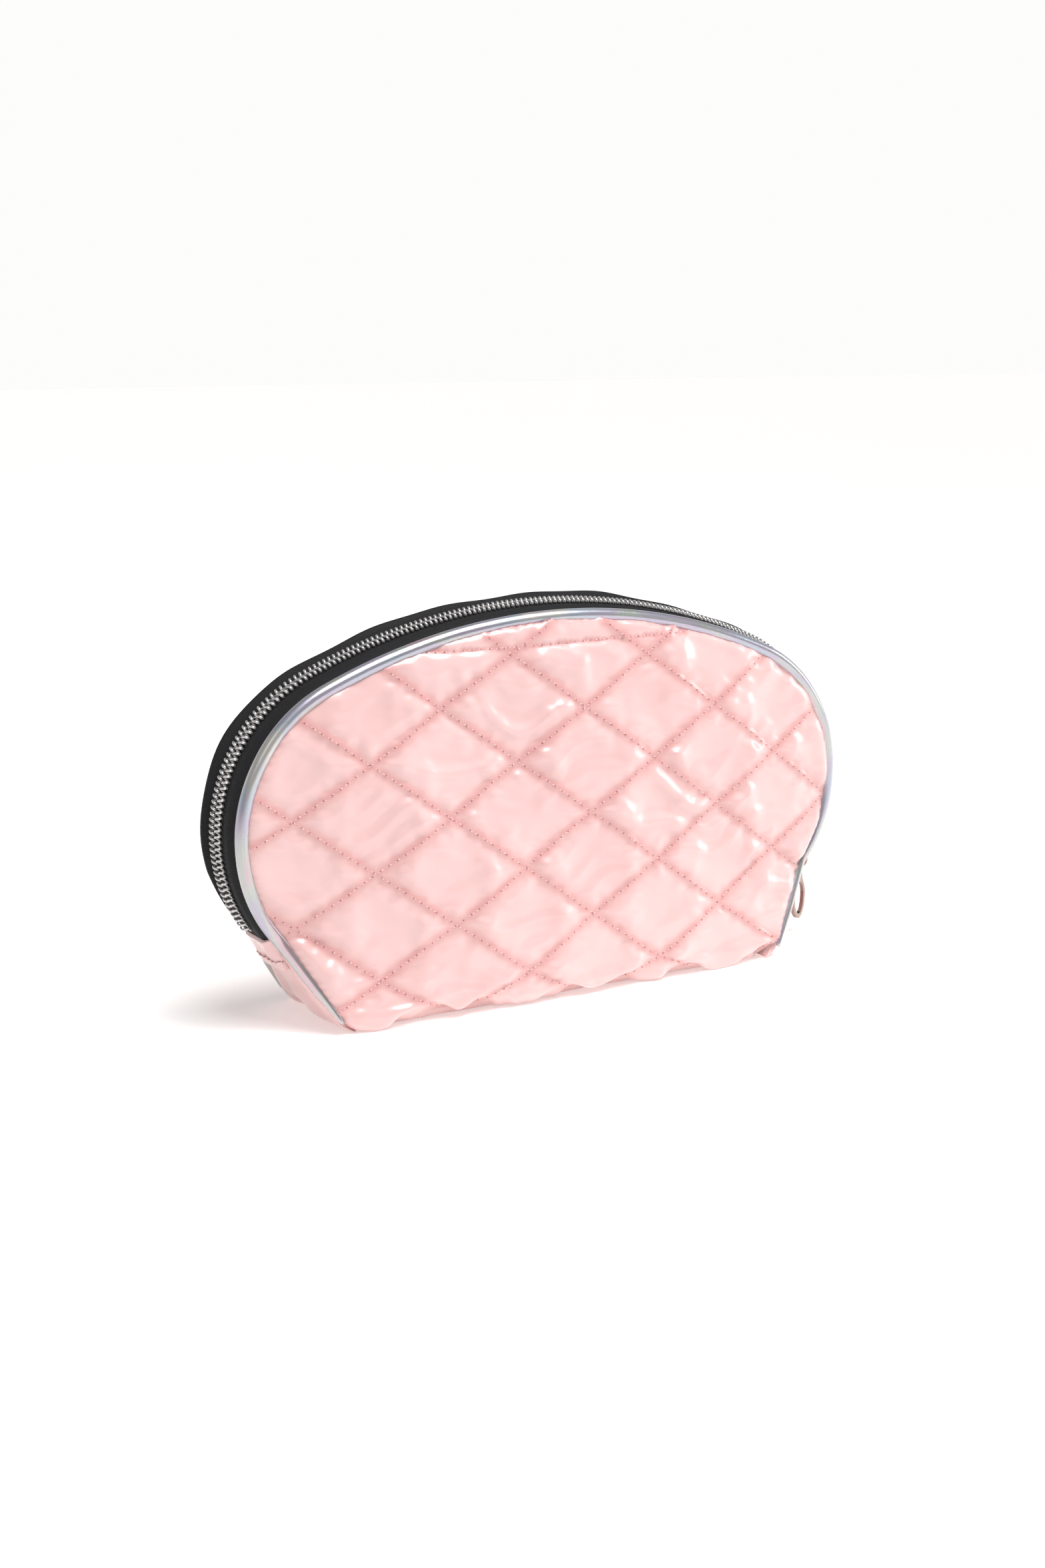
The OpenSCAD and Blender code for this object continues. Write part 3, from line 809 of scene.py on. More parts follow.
def endTab(name, side):
    u, t = np.meshgrid(np.linspace(-1, 1, 30), np.linspace(0, 1, 18), indexing="ij")
    z = tab["top"] - tab["high"] * (1 - t)
    x = bag["baseX"] + (endX - bag["baseX"]) * z / bag["foldZ"]
    groove = np.exp(-((tab["top"] - z - tab["stitchDown"]) / 0.0006) ** 2) * 0.0004
    puff = 0.0008 * (1 - np.abs(u) ** 6) + 0.0004 * np.sin(t * math.pi) * (1 + 0.4 * np.sin(u * 7 + side)) - groove
    low = gusset["bulge"] * np.sin(math.pi * np.clip(z / gusset["top"] * 0.94 + 0.03, 0, 1)) ** 0.6
    high = np.vectorize(zipArch)(np.abs(u) * tab["half"] + 0.0002)
    base = low * (1 - t ** 2) * (1 - np.abs(u * tab["half"] / 0.0138) ** 4) + high * t ** 2
    lean = math.hypot(endX - bag["baseX"], bag["foldZ"])
    nx, nz = bag["foldZ"] / lean, -(endX - bag["baseX"]) / lean
    off, under = base + tab["out"] + puff, base * 0.5 - 0.0004
    outer = np.stack([side * (x + nx * off), u * tab["half"], z + nz * off], -1)
    inner = np.stack([side * (x + nx * under), u * (tab["half"] - 0.0002), z + nz * under], -1)
    c, r = u.shape
    index = np.arange(c * r).reshape(c, r)
    quads = np.stack([index[:-1, :-1], index[1:, :-1], index[1:, 1:], index[:-1, 1:]], -1).reshape(-1, 4)
    rimLoop = np.concatenate([index[:-1, 0], index[-1, :-1], index[:0:-1, -1], index[0, :0:-1]])
    n = c * r
    rim = [(int(a), int(b), int(b) + n, int(a) + n) for a, b in zip(rimLoop, np.roll(rimLoop, -1))]
    piece = softPiece(name, np.concatenate([outer.reshape(-1, 3), inner.reshape(-1, 3)]),
                      quads.tolist() + (quads[:, ::-1] + n).tolist() + rim)
    turnOutward(piece)
    tree = BVHTree.FromPolygons([v.co for v in piece.data.vertices], [f.vertices for f in piece.data.polygons])
    points, faces, holes = [], [], []
    down = 1 - tab["stitchDown"] / tab["high"]
    row = outer[:, min(int(down * (r - 1)), r - 1)]
    row = [Vector(p) + Vector((side * nx, 0, nz)) * 0.0003 for p in row]
    stitchRow(row, tree, points, faces, holes)
    return piece, threadPiece(name + "_thread", points, faces, holes)


rightTab, rightTabThread = endTab("right_end_tab_cloth", 1)
leftTab, leftTabThread = endTab("left_end_tab_cloth", -1)

# Padded base with rounded corners
base = {
    "inset": 0.0045,
    "corner": 0.006,
    "thick": 0.0036,
    "puff": 0.0007,
}


def basePad(name):
    hx, hy = bag["baseX"] - base["inset"], bag["baseY"] - base["inset"]
    bpy.ops.object.select_all(action="DESELECT")
    bpy.ops.mesh.primitive_grid_add(x_subdivisions=84, y_subdivisions=26, size=1, location=(0, 0, 0))
    piece = bpy.context.object
    piece.name = piece.data.name = name
    r = base["corner"]
    for v in piece.data.vertices:
        x, y = v.co.x * 2 * hx, v.co.y * 2 * hy
        cx, cy = max(abs(x) - (hx - r), 0), max(abs(y) - (hy - r), 0)
        d = math.hypot(cx, cy)
        m = max(cx, cy)
        if cx > 0 and cy > 0:
            x = math.copysign(hx - r + cx * m / d, x)
            y = math.copysign(hy - r + cy * m / d, y)
        edge = min(hx - abs(x), hy - abs(y))
        ripple = 0.5 + 0.5 * math.sin(x * 210) * math.sin(y * 260 + 1)
        v.co = (x, y, 0.0004 + base["puff"] * math.exp(-(edge / 0.004)) + 0.0002 * ripple)
    bpy.ops.object.mode_set(mode="EDIT")
    bpy.ops.mesh.select_all(action="SELECT")
    bpy.ops.mesh.extrude_region_move(TRANSFORM_OT_translate={"value": (0, 0, base["thick"])})
    bpy.ops.mesh.select_all(action="SELECT")
    bpy.ops.mesh.normals_make_consistent(inside=False)
    bpy.ops.object.mode_set(mode="OBJECT")
    for f in piece.data.polygons:
        f.material_index = 1 if f.normal.z > 0.7 else 0
        f.use_smooth = True
    return piece


basePiece = basePad("base_pad")
print("gussets, tabs and base made")

# Slider, pull and ring, shaped from primitives
ringLow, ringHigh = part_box("pull_ring")
pullLow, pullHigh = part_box("pull_tab")
metal = {
    "restZ": 0.035,        # height of the parked slider's middle on the zip
    "plateIn": 0.00275,    # its top plate, measured out from the tape's middle
    "plateT": 0.0009,
    "length": 0.0095,
    "half": 0.0046,
    "nose": 0.0034,        # half width of its rounded nose
    "bridgeL": 0.0072,
    "bridgeH": 0.0027,
    "bridgeW": 0.0012,
    "turn": math.radians(24),  # ring and pull are turned about the vertical
    "pullRim": 0.00135,    # width of the loop's rim
    "eyeHole": 0.00096,    # radius of the hole that the ring goes through
    "soft": 0.00022,       # rounding of its edges
}


def bevelled(piece, width, segments=3, angle=35):
    edge = piece.modifiers.new("edge", "BEVEL")
    edge.width = width
    edge.segments = segments
    edge.limit_method = "ANGLE"
    edge.angle_limit = math.radians(angle)
    applyAll(piece)
    bpy.ops.object.shade_smooth_by_angle(angle=math.radians(40))


# A filled outline drawn as a circle whose points are moved to their places, then made thick
def plate(name, outline, thick, opening=None):
    bpy.ops.object.select_all(action="DESELECT")
    bpy.ops.mesh.primitive_circle_add(vertices=len(outline), radius=0.005, fill_type="NOTHING", location=(0, 0, 0))
    piece = bpy.context.object
    piece.name = piece.data.name = name
    for v, (a, b) in zip(piece.data.vertices, outline):
        v.co = (a, b, 0)
    if opening:
        bpy.ops.mesh.primitive_circle_add(vertices=len(opening), radius=0.005, fill_type="NOTHING",
                                          location=(0, 0, 0))
        hole = bpy.context.object
        for v, (a, b) in zip(hole.data.vertices, opening):
            v.co = (a, b, 0)
        piece.select_set(True)
        bpy.context.view_layer.objects.active = piece
        bpy.ops.object.join()
    bpy.ops.object.mode_set(mode="EDIT")
    bpy.ops.mesh.select_all(action="SELECT")
    if opening:
        bpy.ops.mesh.bridge_edge_loops()
    else:
        bpy.ops.mesh.edge_face_add()
    bpy.ops.mesh.select_all(action="SELECT")
    bpy.ops.mesh.extrude_region_move(TRANSFORM_OT_translate={"value": (0, 0, thick)})
    bpy.ops.mesh.select_all(action="SELECT")
    bpy.ops.transform.translate(value=(0, 0, -thick / 2))
    bpy.ops.mesh.normals_make_consistent(inside=False)
    bpy.ops.object.mode_set(mode="OBJECT")
    return piece


# Puts a mesh made in the slider's own frame (out, depth, up the zip) in its place
restA = -math.asin((bag["wideZ"] - metal["restZ"]) / bag["shoulderR"])
runR = bag["shoulderR"] + zipParts["arch"]
restX, restZ = shoulderX + runR * math.cos(restA), bag["wideZ"] + runR * math.sin(restA)


def toSlider(piece):
    for v in piece.data.vertices:
        out, depth, up = v.co
        v.co = (restX + out * math.cos(restA) - up * math.sin(restA), depth,
                restZ + out * math.sin(restA) + up * math.cos(restA))
    piece.data.update()


def sliderShape():
    half, nose, reach = metal["half"], metal["nose"], metal["length"] / 2
    outline = []
    for k in range(48):
        a = 2 * math.pi * k / 48
        c, s = math.cos(a), math.sin(a)
        up = reach * math.copysign(abs(s) ** 0.45, s)
        wide = half if up < 0 else half + (nose - half) * (up / reach) ** 1.5
        outline.append((wide * math.copysign(abs(c) ** 0.5, c), up))
    top = plate("slider_plate", outline, metal["plateT"])
    for v in top.data.vertices:
        a, b, t = v.co
        dome = 0.00025 * (1 - (a / half) ** 2)
        v.co = (metal["plateIn"] + metal["plateT"] / 2 + t + (dome if t > 0 else 0), a, b)
    bevelled(top, metal["soft"])
    parts = [top]
    lip = 0.00085
    for side in (-1, 1):
        bpy.ops.object.select_all(action="DESELECT")
        bpy.ops.mesh.primitive_cube_add(size=1, location=(0, 0, 0))
        rail = bpy.context.object
        for v in rail.data.vertices:
            v.co = (0.00175 + v.co.x * 0.0020, side * (half - lip / 2) + v.co.y * lip, -0.0024 + v.co.z * 0.0045)
        bevelled(rail, metal["soft"])
        parts.append(rail)
    bpy.ops.object.select_all(action="DESELECT")
    bpy.ops.mesh.primitive_cube_add(size=1, location=(0, 0, 0))
    under = bpy.context.object
    for v in under.data.vertices:
        v.co = (-0.00140 + v.co.x * 0.0009, 0.0022 + v.co.y * 0.0048, v.co.z * (metal["length"] - 0.0003))
    bevelled(under, metal["soft"])
    parts.append(under)
    bpy.ops.mesh.primitive_cube_add(size=1, location=(0, 0, 0))
    post = bpy.context.object
    for v in post.data.vertices:
        v.co = (0.0009 + v.co.x * 0.0042, v.co.y * 0.00044, -0.0032 + v.co.z * 0.0028)
    bevelled(post, 0.0001)
    parts.append(post)
    bpy.ops.object.select_all(action="DESELECT")
    for part in parts:
        part.select_set(True)
    bpy.context.view_layer.objects.active = top
    bpy.ops.object.join()
    top.name = top.data.name = "slider_shell"
    toSlider(top)
    return top


# Bridge over the plate that the ring hangs from: a bar bent down at both ends
def bridgeShape():
    bpy.ops.object.select_all(action="DESELECT")
    bpy.ops.mesh.primitive_circle_add(vertices=16, radius=1, fill_type="NGON", location=(0, 0, 0))
    piece = bpy.context.object
    piece.name = piece.data.name = "slider_arch"
    root = metal["plateIn"] + metal["plateT"]
    half, high = metal["bridgeL"] / 2, metal["bridgeH"]
    path = [(root - 0.0003, -half + 0.0005), (root + high * 0.45, -half + 0.00042)]
    for k in range(9):
        a = math.pi * (1 - k / 8)
        path.append((root + high - 0.0014 + 0.0010 * math.sin(a), (half - 0.0004) * math.cos(a) * 0.995))
    path += [(root + high * 0.45, half - 0.00042), (root - 0.0003, half - 0.0005)]
    ring = [(v.co.x, v.co.y) for v in piece.data.vertices]
    wide, thick = metal["bridgeW"] / 2, 0.00042
    stations = []
    for k, (o, u) in enumerate(path):
        o0, u0 = path[max(k - 1, 0)]
        o1, u1 = path[min(k + 1, len(path) - 1)]
        n = math.hypot(o1 - o0, u1 - u0)
        stations.append((o, u, -(u1 - u0) / n * -1, (o1 - o0) / n * -1))
    for v, (a, b) in zip(piece.data.vertices, ring):
        o, u, no, nu = stations[0]
        v.co = (o + no * b * thick, a * wide, u + nu * b * thick)
    for k in range(1, len(stations)):
        bpy.ops.object.mode_set(mode="EDIT")
        bpy.ops.mesh.select_mode(type="FACE")
        if k == 1:
            bpy.ops.mesh.select_all(action="SELECT")
        bpy.ops.mesh.extrude_region_move(TRANSFORM_OT_translate={"value": (0, 0, 0)})
        bpy.ops.object.mode_set(mode="OBJECT")
        o, u, no, nu = stations[k]
        moved = [v for v in piece.data.vertices if v.select]
        for v, (a, b) in zip(moved, ring):
            v.co = (o + no * b * thick, a * wide, u + nu * b * thick)
    turnOutward(piece)
    bpy.ops.object.shade_smooth_by_angle(angle=math.radians(50))
    toSlider(piece)
    return piece


def ringShape():
    centre = [(a + b) / 2 for a, b in zip(ringLow, ringHigh)]
    radius = (ringHigh[2] - ringLow[2]) / 2
    wire = 0.00045
    bpy.ops.object.select_all(action="DESELECT")
    bpy.ops.mesh.primitive_torus_add(major_segments=72, minor_segments=16, major_radius=radius - wire,
                                     minor_radius=wire, location=(0, 0, 0))
    piece = bpy.context.object
    piece.name = piece.data.name = "pull_ring_wire"
    c, s = math.cos(metal["turn"]), math.sin(metal["turn"])
    for v in piece.data.vertices:
        a, b, t = v.co
        across, deep, up = t, a, b
        v.co = (centre[0] + across * c - deep * s, centre[1] + across * s + deep * c, centre[2] + up)
    turnOutward(piece)
    bpy.ops.object.shade_smooth()
    return piece


# Tear-shaped loop with an eye above and a long opening below
def pullShape():
    z1, z0 = pullHigh[2], pullLow[2]
    length = z1 - z0
    wide = 0.0043
    steps = 72
    outline, opening = [], []
    eyeR, footR = 0.0017, 0.0027
    belly = z0 + footR + 0.0057 - (z0 + z1) / 2
    for k in range(steps):
        a = 2 * math.pi * k / steps + math.pi / 2
        c, s = math.cos(a), math.sin(a)
        up = s * length / 2
        t = (up - belly) / (length / 2 - belly) if up > belly else (belly - up) / (belly + length / 2)
        r = wide * math.sqrt(max(0.0, 1 - t ** 2.1)) if up <= belly else None
        if up > belly:
            neck = eyeR * 0.98
            body = wide * (0.5 + 0.5 * math.cos(math.pi * min(1, t / 0.86))) ** 0.8
            cap = math.sqrt(max(0.0, eyeR ** 2 - max(0.0, up - (length / 2 - eyeR)) ** 2))
            r = max(body, neck * (t > 0.4)) if up < length / 2 - eyeR else cap
        outline.append((math.copysign(r, c) if abs(c) > 1e-6 else 0.0, up))
    inHalf, inTop, inFoot = wide - metal["pullRim"], belly + 0.0048, -length / 2 + metal["pullRim"] + 0.0003
    for k in range(steps):
        a = 2 * math.pi * k / steps + math.pi / 2
        c, s = math.cos(a), math.sin(a)
        mid = belly - 0.0004
        up = mid + (s * (inTop - mid) if s > 0 else s * (mid - inFoot))
        opening.append((inHalf * math.copysign(abs(c) ** 0.95, c), up))
    body = plate("pull_loop", outline, 0.0013, opening)
    bevelled(body, 0.00038, 3, 50)
    bpy.ops.object.select_all(action="DESELECT")
    bpy.ops.mesh.primitive_cylinder_add(vertices=32, radius=metal["eyeHole"], depth=0.004,
                                        location=(0, length / 2 - eyeR, 0))
    drill = bpy.context.object
    cut = body.modifiers.new("eye", "BOOLEAN")
    cut.operation = "DIFFERENCE"
    cut.object = drill
    cut.solver = "EXACT"
    applyAll(body)
    bpy.data.objects.remove(drill, do_unlink=True)
    c, s = math.cos(metal["turn"]), math.sin(metal["turn"])
    centre = [(a + b) / 2 for a, b in zip(pullLow, pullHigh)]
    for v in body.data.vertices:
        a, b, t = v.co
        v.co = (centre[0] + a * c - t * s, centre[1] + a * s + t * c, centre[2] + b)
    turnOutward(body)
    bpy.ops.object.shade_smooth_by_angle(angle=math.radians(40))
    return body


sliderShell = sliderShape()
sliderArch = bridgeShape()
ringWire = ringShape()
pullLoop = pullShape()
print("slider and pull made")


# A shader socket that takes part in sums
class Amount:
    def __init__(self, tree, socket):
        self.tree, self.socket = tree, socket

    def worked(self, operation, first, second=None):
        step = self.tree.nodes.new("ShaderNodeMath")
        step.operation = operation
        for slot, value in enumerate((first, second)):
            if isinstance(value, Amount):
                self.tree.links.new(value.socket, step.inputs[slot])
            elif value is not None:
                step.inputs[slot].default_value = value
        return Amount(self.tree, step.outputs[0])

    def __add__(self, other):
        return self.worked("ADD", self, other)

    __radd__ = __add__

    def __sub__(self, other):
        return self.worked("SUBTRACT", self, other)

    def __rsub__(self, other):
        return self.worked("SUBTRACT", other, self)

    def __mul__(self, other):
        return self.worked("MULTIPLY", self, other)

    __rmul__ = __mul__

    def __pow__(self, other):
        return self.worked("POWER", self, other)

    def absolute(self):
        return self.worked("ABSOLUTE", self)

    def clamped(self):
        return self.worked("MINIMUM", self.worked("MAXIMUM", self, 0.0), 1.0)


# sRGB colour from a hex string, as linear light
def shade(code):
    channels = [int(code[k:k + 2], 16) / 255 for k in (0, 2, 4)]
    return tuple(c / 12.92 if c <= 0.04045 else ((c + 0.055) / 1.055) ** 2.4 for c in channels) + (1.0,)


class Finish:
    def __init__(self, name, **fixed):
        self.material = bpy.data.materials.new(name)
        self.material.use_nodes = True
        self.tree = self.material.node_tree
        self.shader = self.tree.nodes["Principled BSDF"]
        for key, value in fixed.items():
            self.shader.inputs[key.replace("_", " ")].default_value = value

    # Any other node: its settings first, then the values or links of its sockets
    def node(self, kind, settings=None, **sockets):
        made = self.tree.nodes.new("ShaderNode" + kind)
        for key, value in (settings or {}).items():
            if key == "stops":
                ramp = made.color_ramp
                while len(ramp.elements) < len(value):
                    ramp.elements.new(0.5)
                for element, (place, colour) in zip(ramp.elements, value):
                    element.position, element.color = place, colour
            else:
                setattr(made, key, value)
        for key, value in sockets.items():
            name = key.replace("_", " ")
            options = [s for s in made.inputs if s.name == name and s.enabled]
            self.join(value, options[0])
        return made

    def join(self, value, socket):
        if isinstance(value, Amount):
            self.tree.links.new(value.socket, socket)
        elif isinstance(value, bpy.types.NodeSocket):
            self.tree.links.new(value, socket)
        else:
            socket.default_value = value

    def amount(self, socket):
        return Amount(self.tree, socket)

    def attribute(self, name):
        return self.amount(self.node("Attribute", {"attribute_name": name}).outputs["Fac"])

    def place(self, stretch=(1, 1, 1), turn=(0, 0, 0), source="Object"):
        where = self.node("TexCoord")
        return self.node("Mapping", Vector=where.outputs[source], Scale=stretch, Rotation=turn).outputs["Vector"]

    def noise(self, vector, size, detail=3.0, rough=0.5, twist=0.0):
        made = self.node("TexNoise", Vector=vector, Scale=size, Detail=detail, Roughness=rough, Distortion=twist)
        return self.amount(made.outputs["Fac"])

    def wave(self, vector, size, across="X"):
        settings = {"wave_type": "BANDS", "wave_profile": "SIN", "bands_direction": across}
        made = self.node("TexWave", settings, Vector=vector, Scale=size, Distortion=0.0, Detail=0.0)
        return self.amount(made.outputs["Fac"])

    def mix(self, share, first, second):
        made = self.node("Mix", {"data_type": "RGBA", "blend_type": "MIX"})
        self.join(share, made.inputs[0])
        self.join(first, made.inputs[6])
        self.join(second, made.inputs[7])
        return made.outputs[2]

    def ramp(self, amount, stops):
        return self.node("ValToRGB", {"stops": stops}, Fac=amount).outputs["Color"]

    def bump(self, height, strength, distance, under=None):
        made = self.node("Bump", Height=height, Strength=strength, Distance=distance)
        if under is not None:
            self.tree.links.new(under, made.inputs["Normal"])
        return made.outputs["Normal"]

    def give(self, socket, value):
        self.join(value, self.shader.inputs[socket])


# Glossy coated cloth of the outside. Painted shade: its pink deepens towards the seams, where the valleys lie in
# shade, and depth sets how strong that painted shade is
cloth = {
    "pink": "DFB6B4",
    "seamShadePink": "CC8D8A",
    # painted shade for the valleys along the seams
    "palePink": "E6C2C0",
    "gloss": 0.36,
    "coat": 0.9,
}


def coatedCloth(name, depth=1.0, gloss=1.0):
    f = Finish(name, Coat_Roughness=0.16, IOR=1.48, Specular_IOR_Level=0.5)
    soft = f.noise(f.place(), 38.0, 4.0, 0.5)
    fine = f.noise(f.place((1, 1, 2.2)), 260.0, 5.0, 0.6, 0.4)
    seam = f.attribute("seam")
    tone = f.mix((soft * 1.6 - 0.35).clamped(), shade(cloth["pink"]), shade(cloth["palePink"]))
    # painted shade: deeper pink near the seams stands in for the shade in the valleys between the puffs
    tone = f.mix((seam * 0.75 * depth).clamped(), tone, shade(cloth["seamShadePink"]))
    f.give("Base Color", tone)
    f.give("Roughness", (fine * 0.14 + soft * 0.10 + (cloth["gloss"] - 0.12) / gloss).clamped())
    f.give("Coat Weight", (cloth["coat"] - fine * 0.2).clamped())
    creases = f.noise(f.place((0.5, 1, 1.8), (0, 0.12, 0)), 70.0, 2.0, 0.4, 0.6)
    ridges = 1 - (creases * 2 - 1).absolute()
    puckers = f.noise(f.place((1, 1, 1)), 310.0, 2.0, 0.4)
    height = (ridges ** 2.0) * 0.30 + puckers * seam * 0.35
    grain = f.noise(f.place(), 2600.0, 2.0, 0.5)
    normal = f.bump(height, 0.5, 0.0005)
    f.give("Normal", f.bump(grain, 0.08, 0.00004, normal))
    return f.material


def liningCloth(name):
    f = Finish(name, Specular_IOR_Level=0.35)
    cloudy = f.noise(f.place(), 45.0, 3.0)
    threads = f.wave(f.place(turn=(0, 0.5, 0)), 900.0, across="X") * f.wave(f.place(), 900.0, across="Z")
    f.give("Base Color", f.mix(cloudy, shade("E9CFCF"), shade("F2DEDC")))
    f.give("Roughness", threads * 0.15 + 0.55)
    folds = f.noise(f.place((0.5, 1, 1.6)), 70.0, 3.0, 0.5, 0.6)
    f.give("Normal", f.bump(threads, 0.25, 0.00008, f.bump(folds, 0.5, 0.0008)))
    return f.material


# Silver foil whose tint drifts along the piping
foil = {
    "tints": (("C4BDB4", 0.0), ("C8A9B2", 0.18), ("B2BEB2", 0.36), ("B2A8BC", 0.52), ("A6B4C0", 0.68),
              ("D0CBC0", 0.84), ("B8B0B4", 1.0)),
}


def foilCovering(name):
    f = Finish(name, Coat_Roughness=0.06, Coat_Weight=0.6)
    along = f.place((14.0, 0.9, 1.0), source="UV")
    streaks = f.place((9.0, 11.0, 1.0), source="UV")
    drift = f.noise(along, 1.9, 2.0, 0.5, 0.5)
    stripe = f.noise(streaks, 1.6, 3.0, 0.5)
    stops = [(place, shade(code)) for code, place in foil["tints"]]
    tint = f.ramp((drift * 1.9 - 0.45 + (stripe - 0.5) * 0.35).clamped(), stops)
    tint = f.mix((stripe * 1.3 - 0.35).clamped(), tint, shade("A9A6AE"))
    f.give("Base Color", tint)
    f.give("Metallic", (stripe * 0.3 + 0.45).clamped())
    f.give("Roughness", (drift * 0.16 + 0.20).clamped())
    f.give("Normal", f.bump(f.noise(f.place((1, 1, 1)), 420.0, 3.0, 0.5), 0.20, 0.0003))
    return f.material


# Black tape woven in slanting ribs
def wovenTape(name, dark="0B0B0D", light="2A2A2E"):
    f = Finish(name, Specular_IOR_Level=0.3)
    lines = f.place((1.0, 0.055, 1.0), source="UV")
    warp = f.wave(lines, 720.0, across="X")
    weft = f.wave(f.place((1.0, 0.055, 1.0), (0, 0, 0.85), source="UV"), 520.0, across="X")
    weave = warp * weft
    lint = f.noise(f.place(), 900.0, 2.0)
    f.give("Base Color", f.mix((weave * 0.75 + lint * 0.2).clamped(), shade(dark), shade(light)))
    f.give("Roughness", weave * 0.2 + 0.6)
    f.give("Normal", f.bump(weave, 0.8, 0.00022))
    return f.material


def coilSilver(name):
    f = Finish(name, Coat_Weight=0.3, Coat_Roughness=0.12)
    worn = f.noise(f.place(), 700.0, 2.0)
    f.give("Base Color", f.mix(worn, shade("BDBBBB"), shade("DAD8D7")))
    f.give("Metallic", worn * 0.2 + 0.55)
    f.give("Roughness", worn * 0.2 + 0.22)
    f.give("Normal", f.bump(worn, 0.15, 0.0001))
    return f.material


def roseNickel(name):
    f = Finish(name, Coat_Weight=0.2, Coat_Roughness=0.08)
    worn = f.noise(f.place(), 260.0, 4.0)
    fine = f.noise(f.place((1, 1, 5)), 1500.0, 2.0)
    f.give("Base Color", f.mix(worn, shade("8F7973"), shade("AD9890")))
    f.give("Metallic", worn * 0.06 + 0.92)
    f.give("Roughness", (worn * 0.12 + fine * 0.08 + 0.12).clamped())
    f.give("Normal", f.bump(fine, 0.10, 0.00005))
    return f.material


def sewingThread(name, pale, dark):
    f = Finish(name, Specular_IOR_Level=0.3, Sheen_Weight=0.2)
    twist = f.wave(f.place((1, 1, 1), (0.6, 0.8, 0.3)), 1500.0)
    lint = f.noise(f.place(), 500.0, 2.0)
    f.give("Base Color", f.mix((twist * 0.5 + lint * 0.5).clamped(), shade(dark), shade(pale)))
    f.give("Roughness", twist * 0.15 + 0.5)
    f.give("Normal", f.bump(twist, 0.4, 0.0001))
    return f.material


def paleFloor(name):
    f = Finish(name, Specular_IOR_Level=0.2, Emission_Strength=0.34)
    f.shader.inputs["Emission Color"].default_value = (1.0, 0.985, 0.975, 1)
    even = f.noise(f.place(), 3.0, 2.0)
    f.give("Base Color", f.mix(even, shade("FBF8F6"), shade("FDFBFA")))
    f.give("Roughness", even * 0.1 + 0.6)
    return f.material


outerPink = coatedCloth("coated_cloth_quilted")
sidePink = coatedCloth("coated_cloth_plain", 0.6, 0.8)
satin = liningCloth("lining_satin")
foilSilver = foilCovering("piping_foil")
tapeBlack = wovenTape("zip_tape_woven")
ribbonBlack = wovenTape("seam_ribbon_woven", "101013", "34343A")
coilMetal = coilSilver("coil_silver")
pullMetal = roseNickel("puller_rose_nickel")
pinkThread = sewingThread("thread_pink", "FBE3E1", "E9B4B5")
# painted shade: dark rose on the needle holes stands in for the shade inside each dimple
needleHoleShade = sewingThread("needle_hole_shade", "C98288", "B06A70")
print("finishes made")


def dress(piece, *materials):
    kept = [0] * len(piece.data.polygons)
    piece.data.polygons.foreach_get("material_index", kept)
    piece.data.materials.clear()
    for material in materials:
        piece.data.materials.append(material)
    top = len(materials) - 1
    piece.data.polygons.foreach_set("material_index", [min(k, top) for k in kept])


for piece in (frontQuilt, backQuilt):
    dress(piece, outerPink, satin)
for piece in (rightGusset, leftGusset, basePiece):
    dress(piece, sidePink, satin)
for piece in (rightTab, leftTab):
    dress(piece, sidePink)
for piece in (frontThread, backThread, rightTabThread, leftTabThread):
    dress(piece, pinkThread, needleHoleShade)
for piece in (frontPiping, backPiping):
    dress(piece, foilSilver)
for piece in (frontTape, backTape):
    dress(piece, tapeBlack)
for piece in (frontRibbon, backRibbon):
    dress(piece, ribbonBlack)
for piece in (frontCoil, backCoil):
    dress(piece, coilMetal)
for piece in (sliderShell, sliderArch, ringWire, pullLoop):
    dress(piece, pullMetal)

# Pieces go with their bodies: the front quilt, thread and piping keep their place, and the front tape, coil and
# ribbon go with the front flap
for piece in (frontQuilt, frontThread, frontPiping):
    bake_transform(piece)
for piece in (frontTape, frontCoil, frontRibbon):
    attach(piece, "front_flap")
for piece in (backQuilt, backThread, backPiping, backTape, backCoil, backRibbon, rightGusset, leftGusset,
              rightTab, leftTab, rightTabThread, leftTabThread, basePiece):
    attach(piece, "bag_body")
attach(sliderShell, "slider")
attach(sliderArch, "slider")
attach(ringWire, "ring")
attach(pullLoop, "pull")

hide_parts("front_panel_lower", "front_wadding_lower", "front_lining_lower",
            "front_panel_upper", "front_wadding_upper", "front_lining_upper")
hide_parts("back_panel", "back_wadding", "back_lining")
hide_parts("base_panel", "base_wadding", "base_lining")
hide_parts("right_gusset", "right_gusset_wadding", "right_gusset_lining")
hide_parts("left_gusset", "left_gusset_wadding", "left_gusset_lining")
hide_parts("right_end_tab")
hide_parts("left_end_tab")
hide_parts("front_piping", "front_piping_cord", "front_piping_lower")
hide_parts("back_piping", "back_piping_cord", "back_piping_lower")
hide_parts("front_zip_tape")
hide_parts("back_zip_tape")
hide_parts("front_coil")
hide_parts("back_coil")
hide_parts("front_seam_binding")
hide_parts("back_seam_binding")
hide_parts("slider_body")
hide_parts("slider_bridge")
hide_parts("pull_ring")
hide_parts("pull_tab")
print("pieces dressed and joined to their bodies")

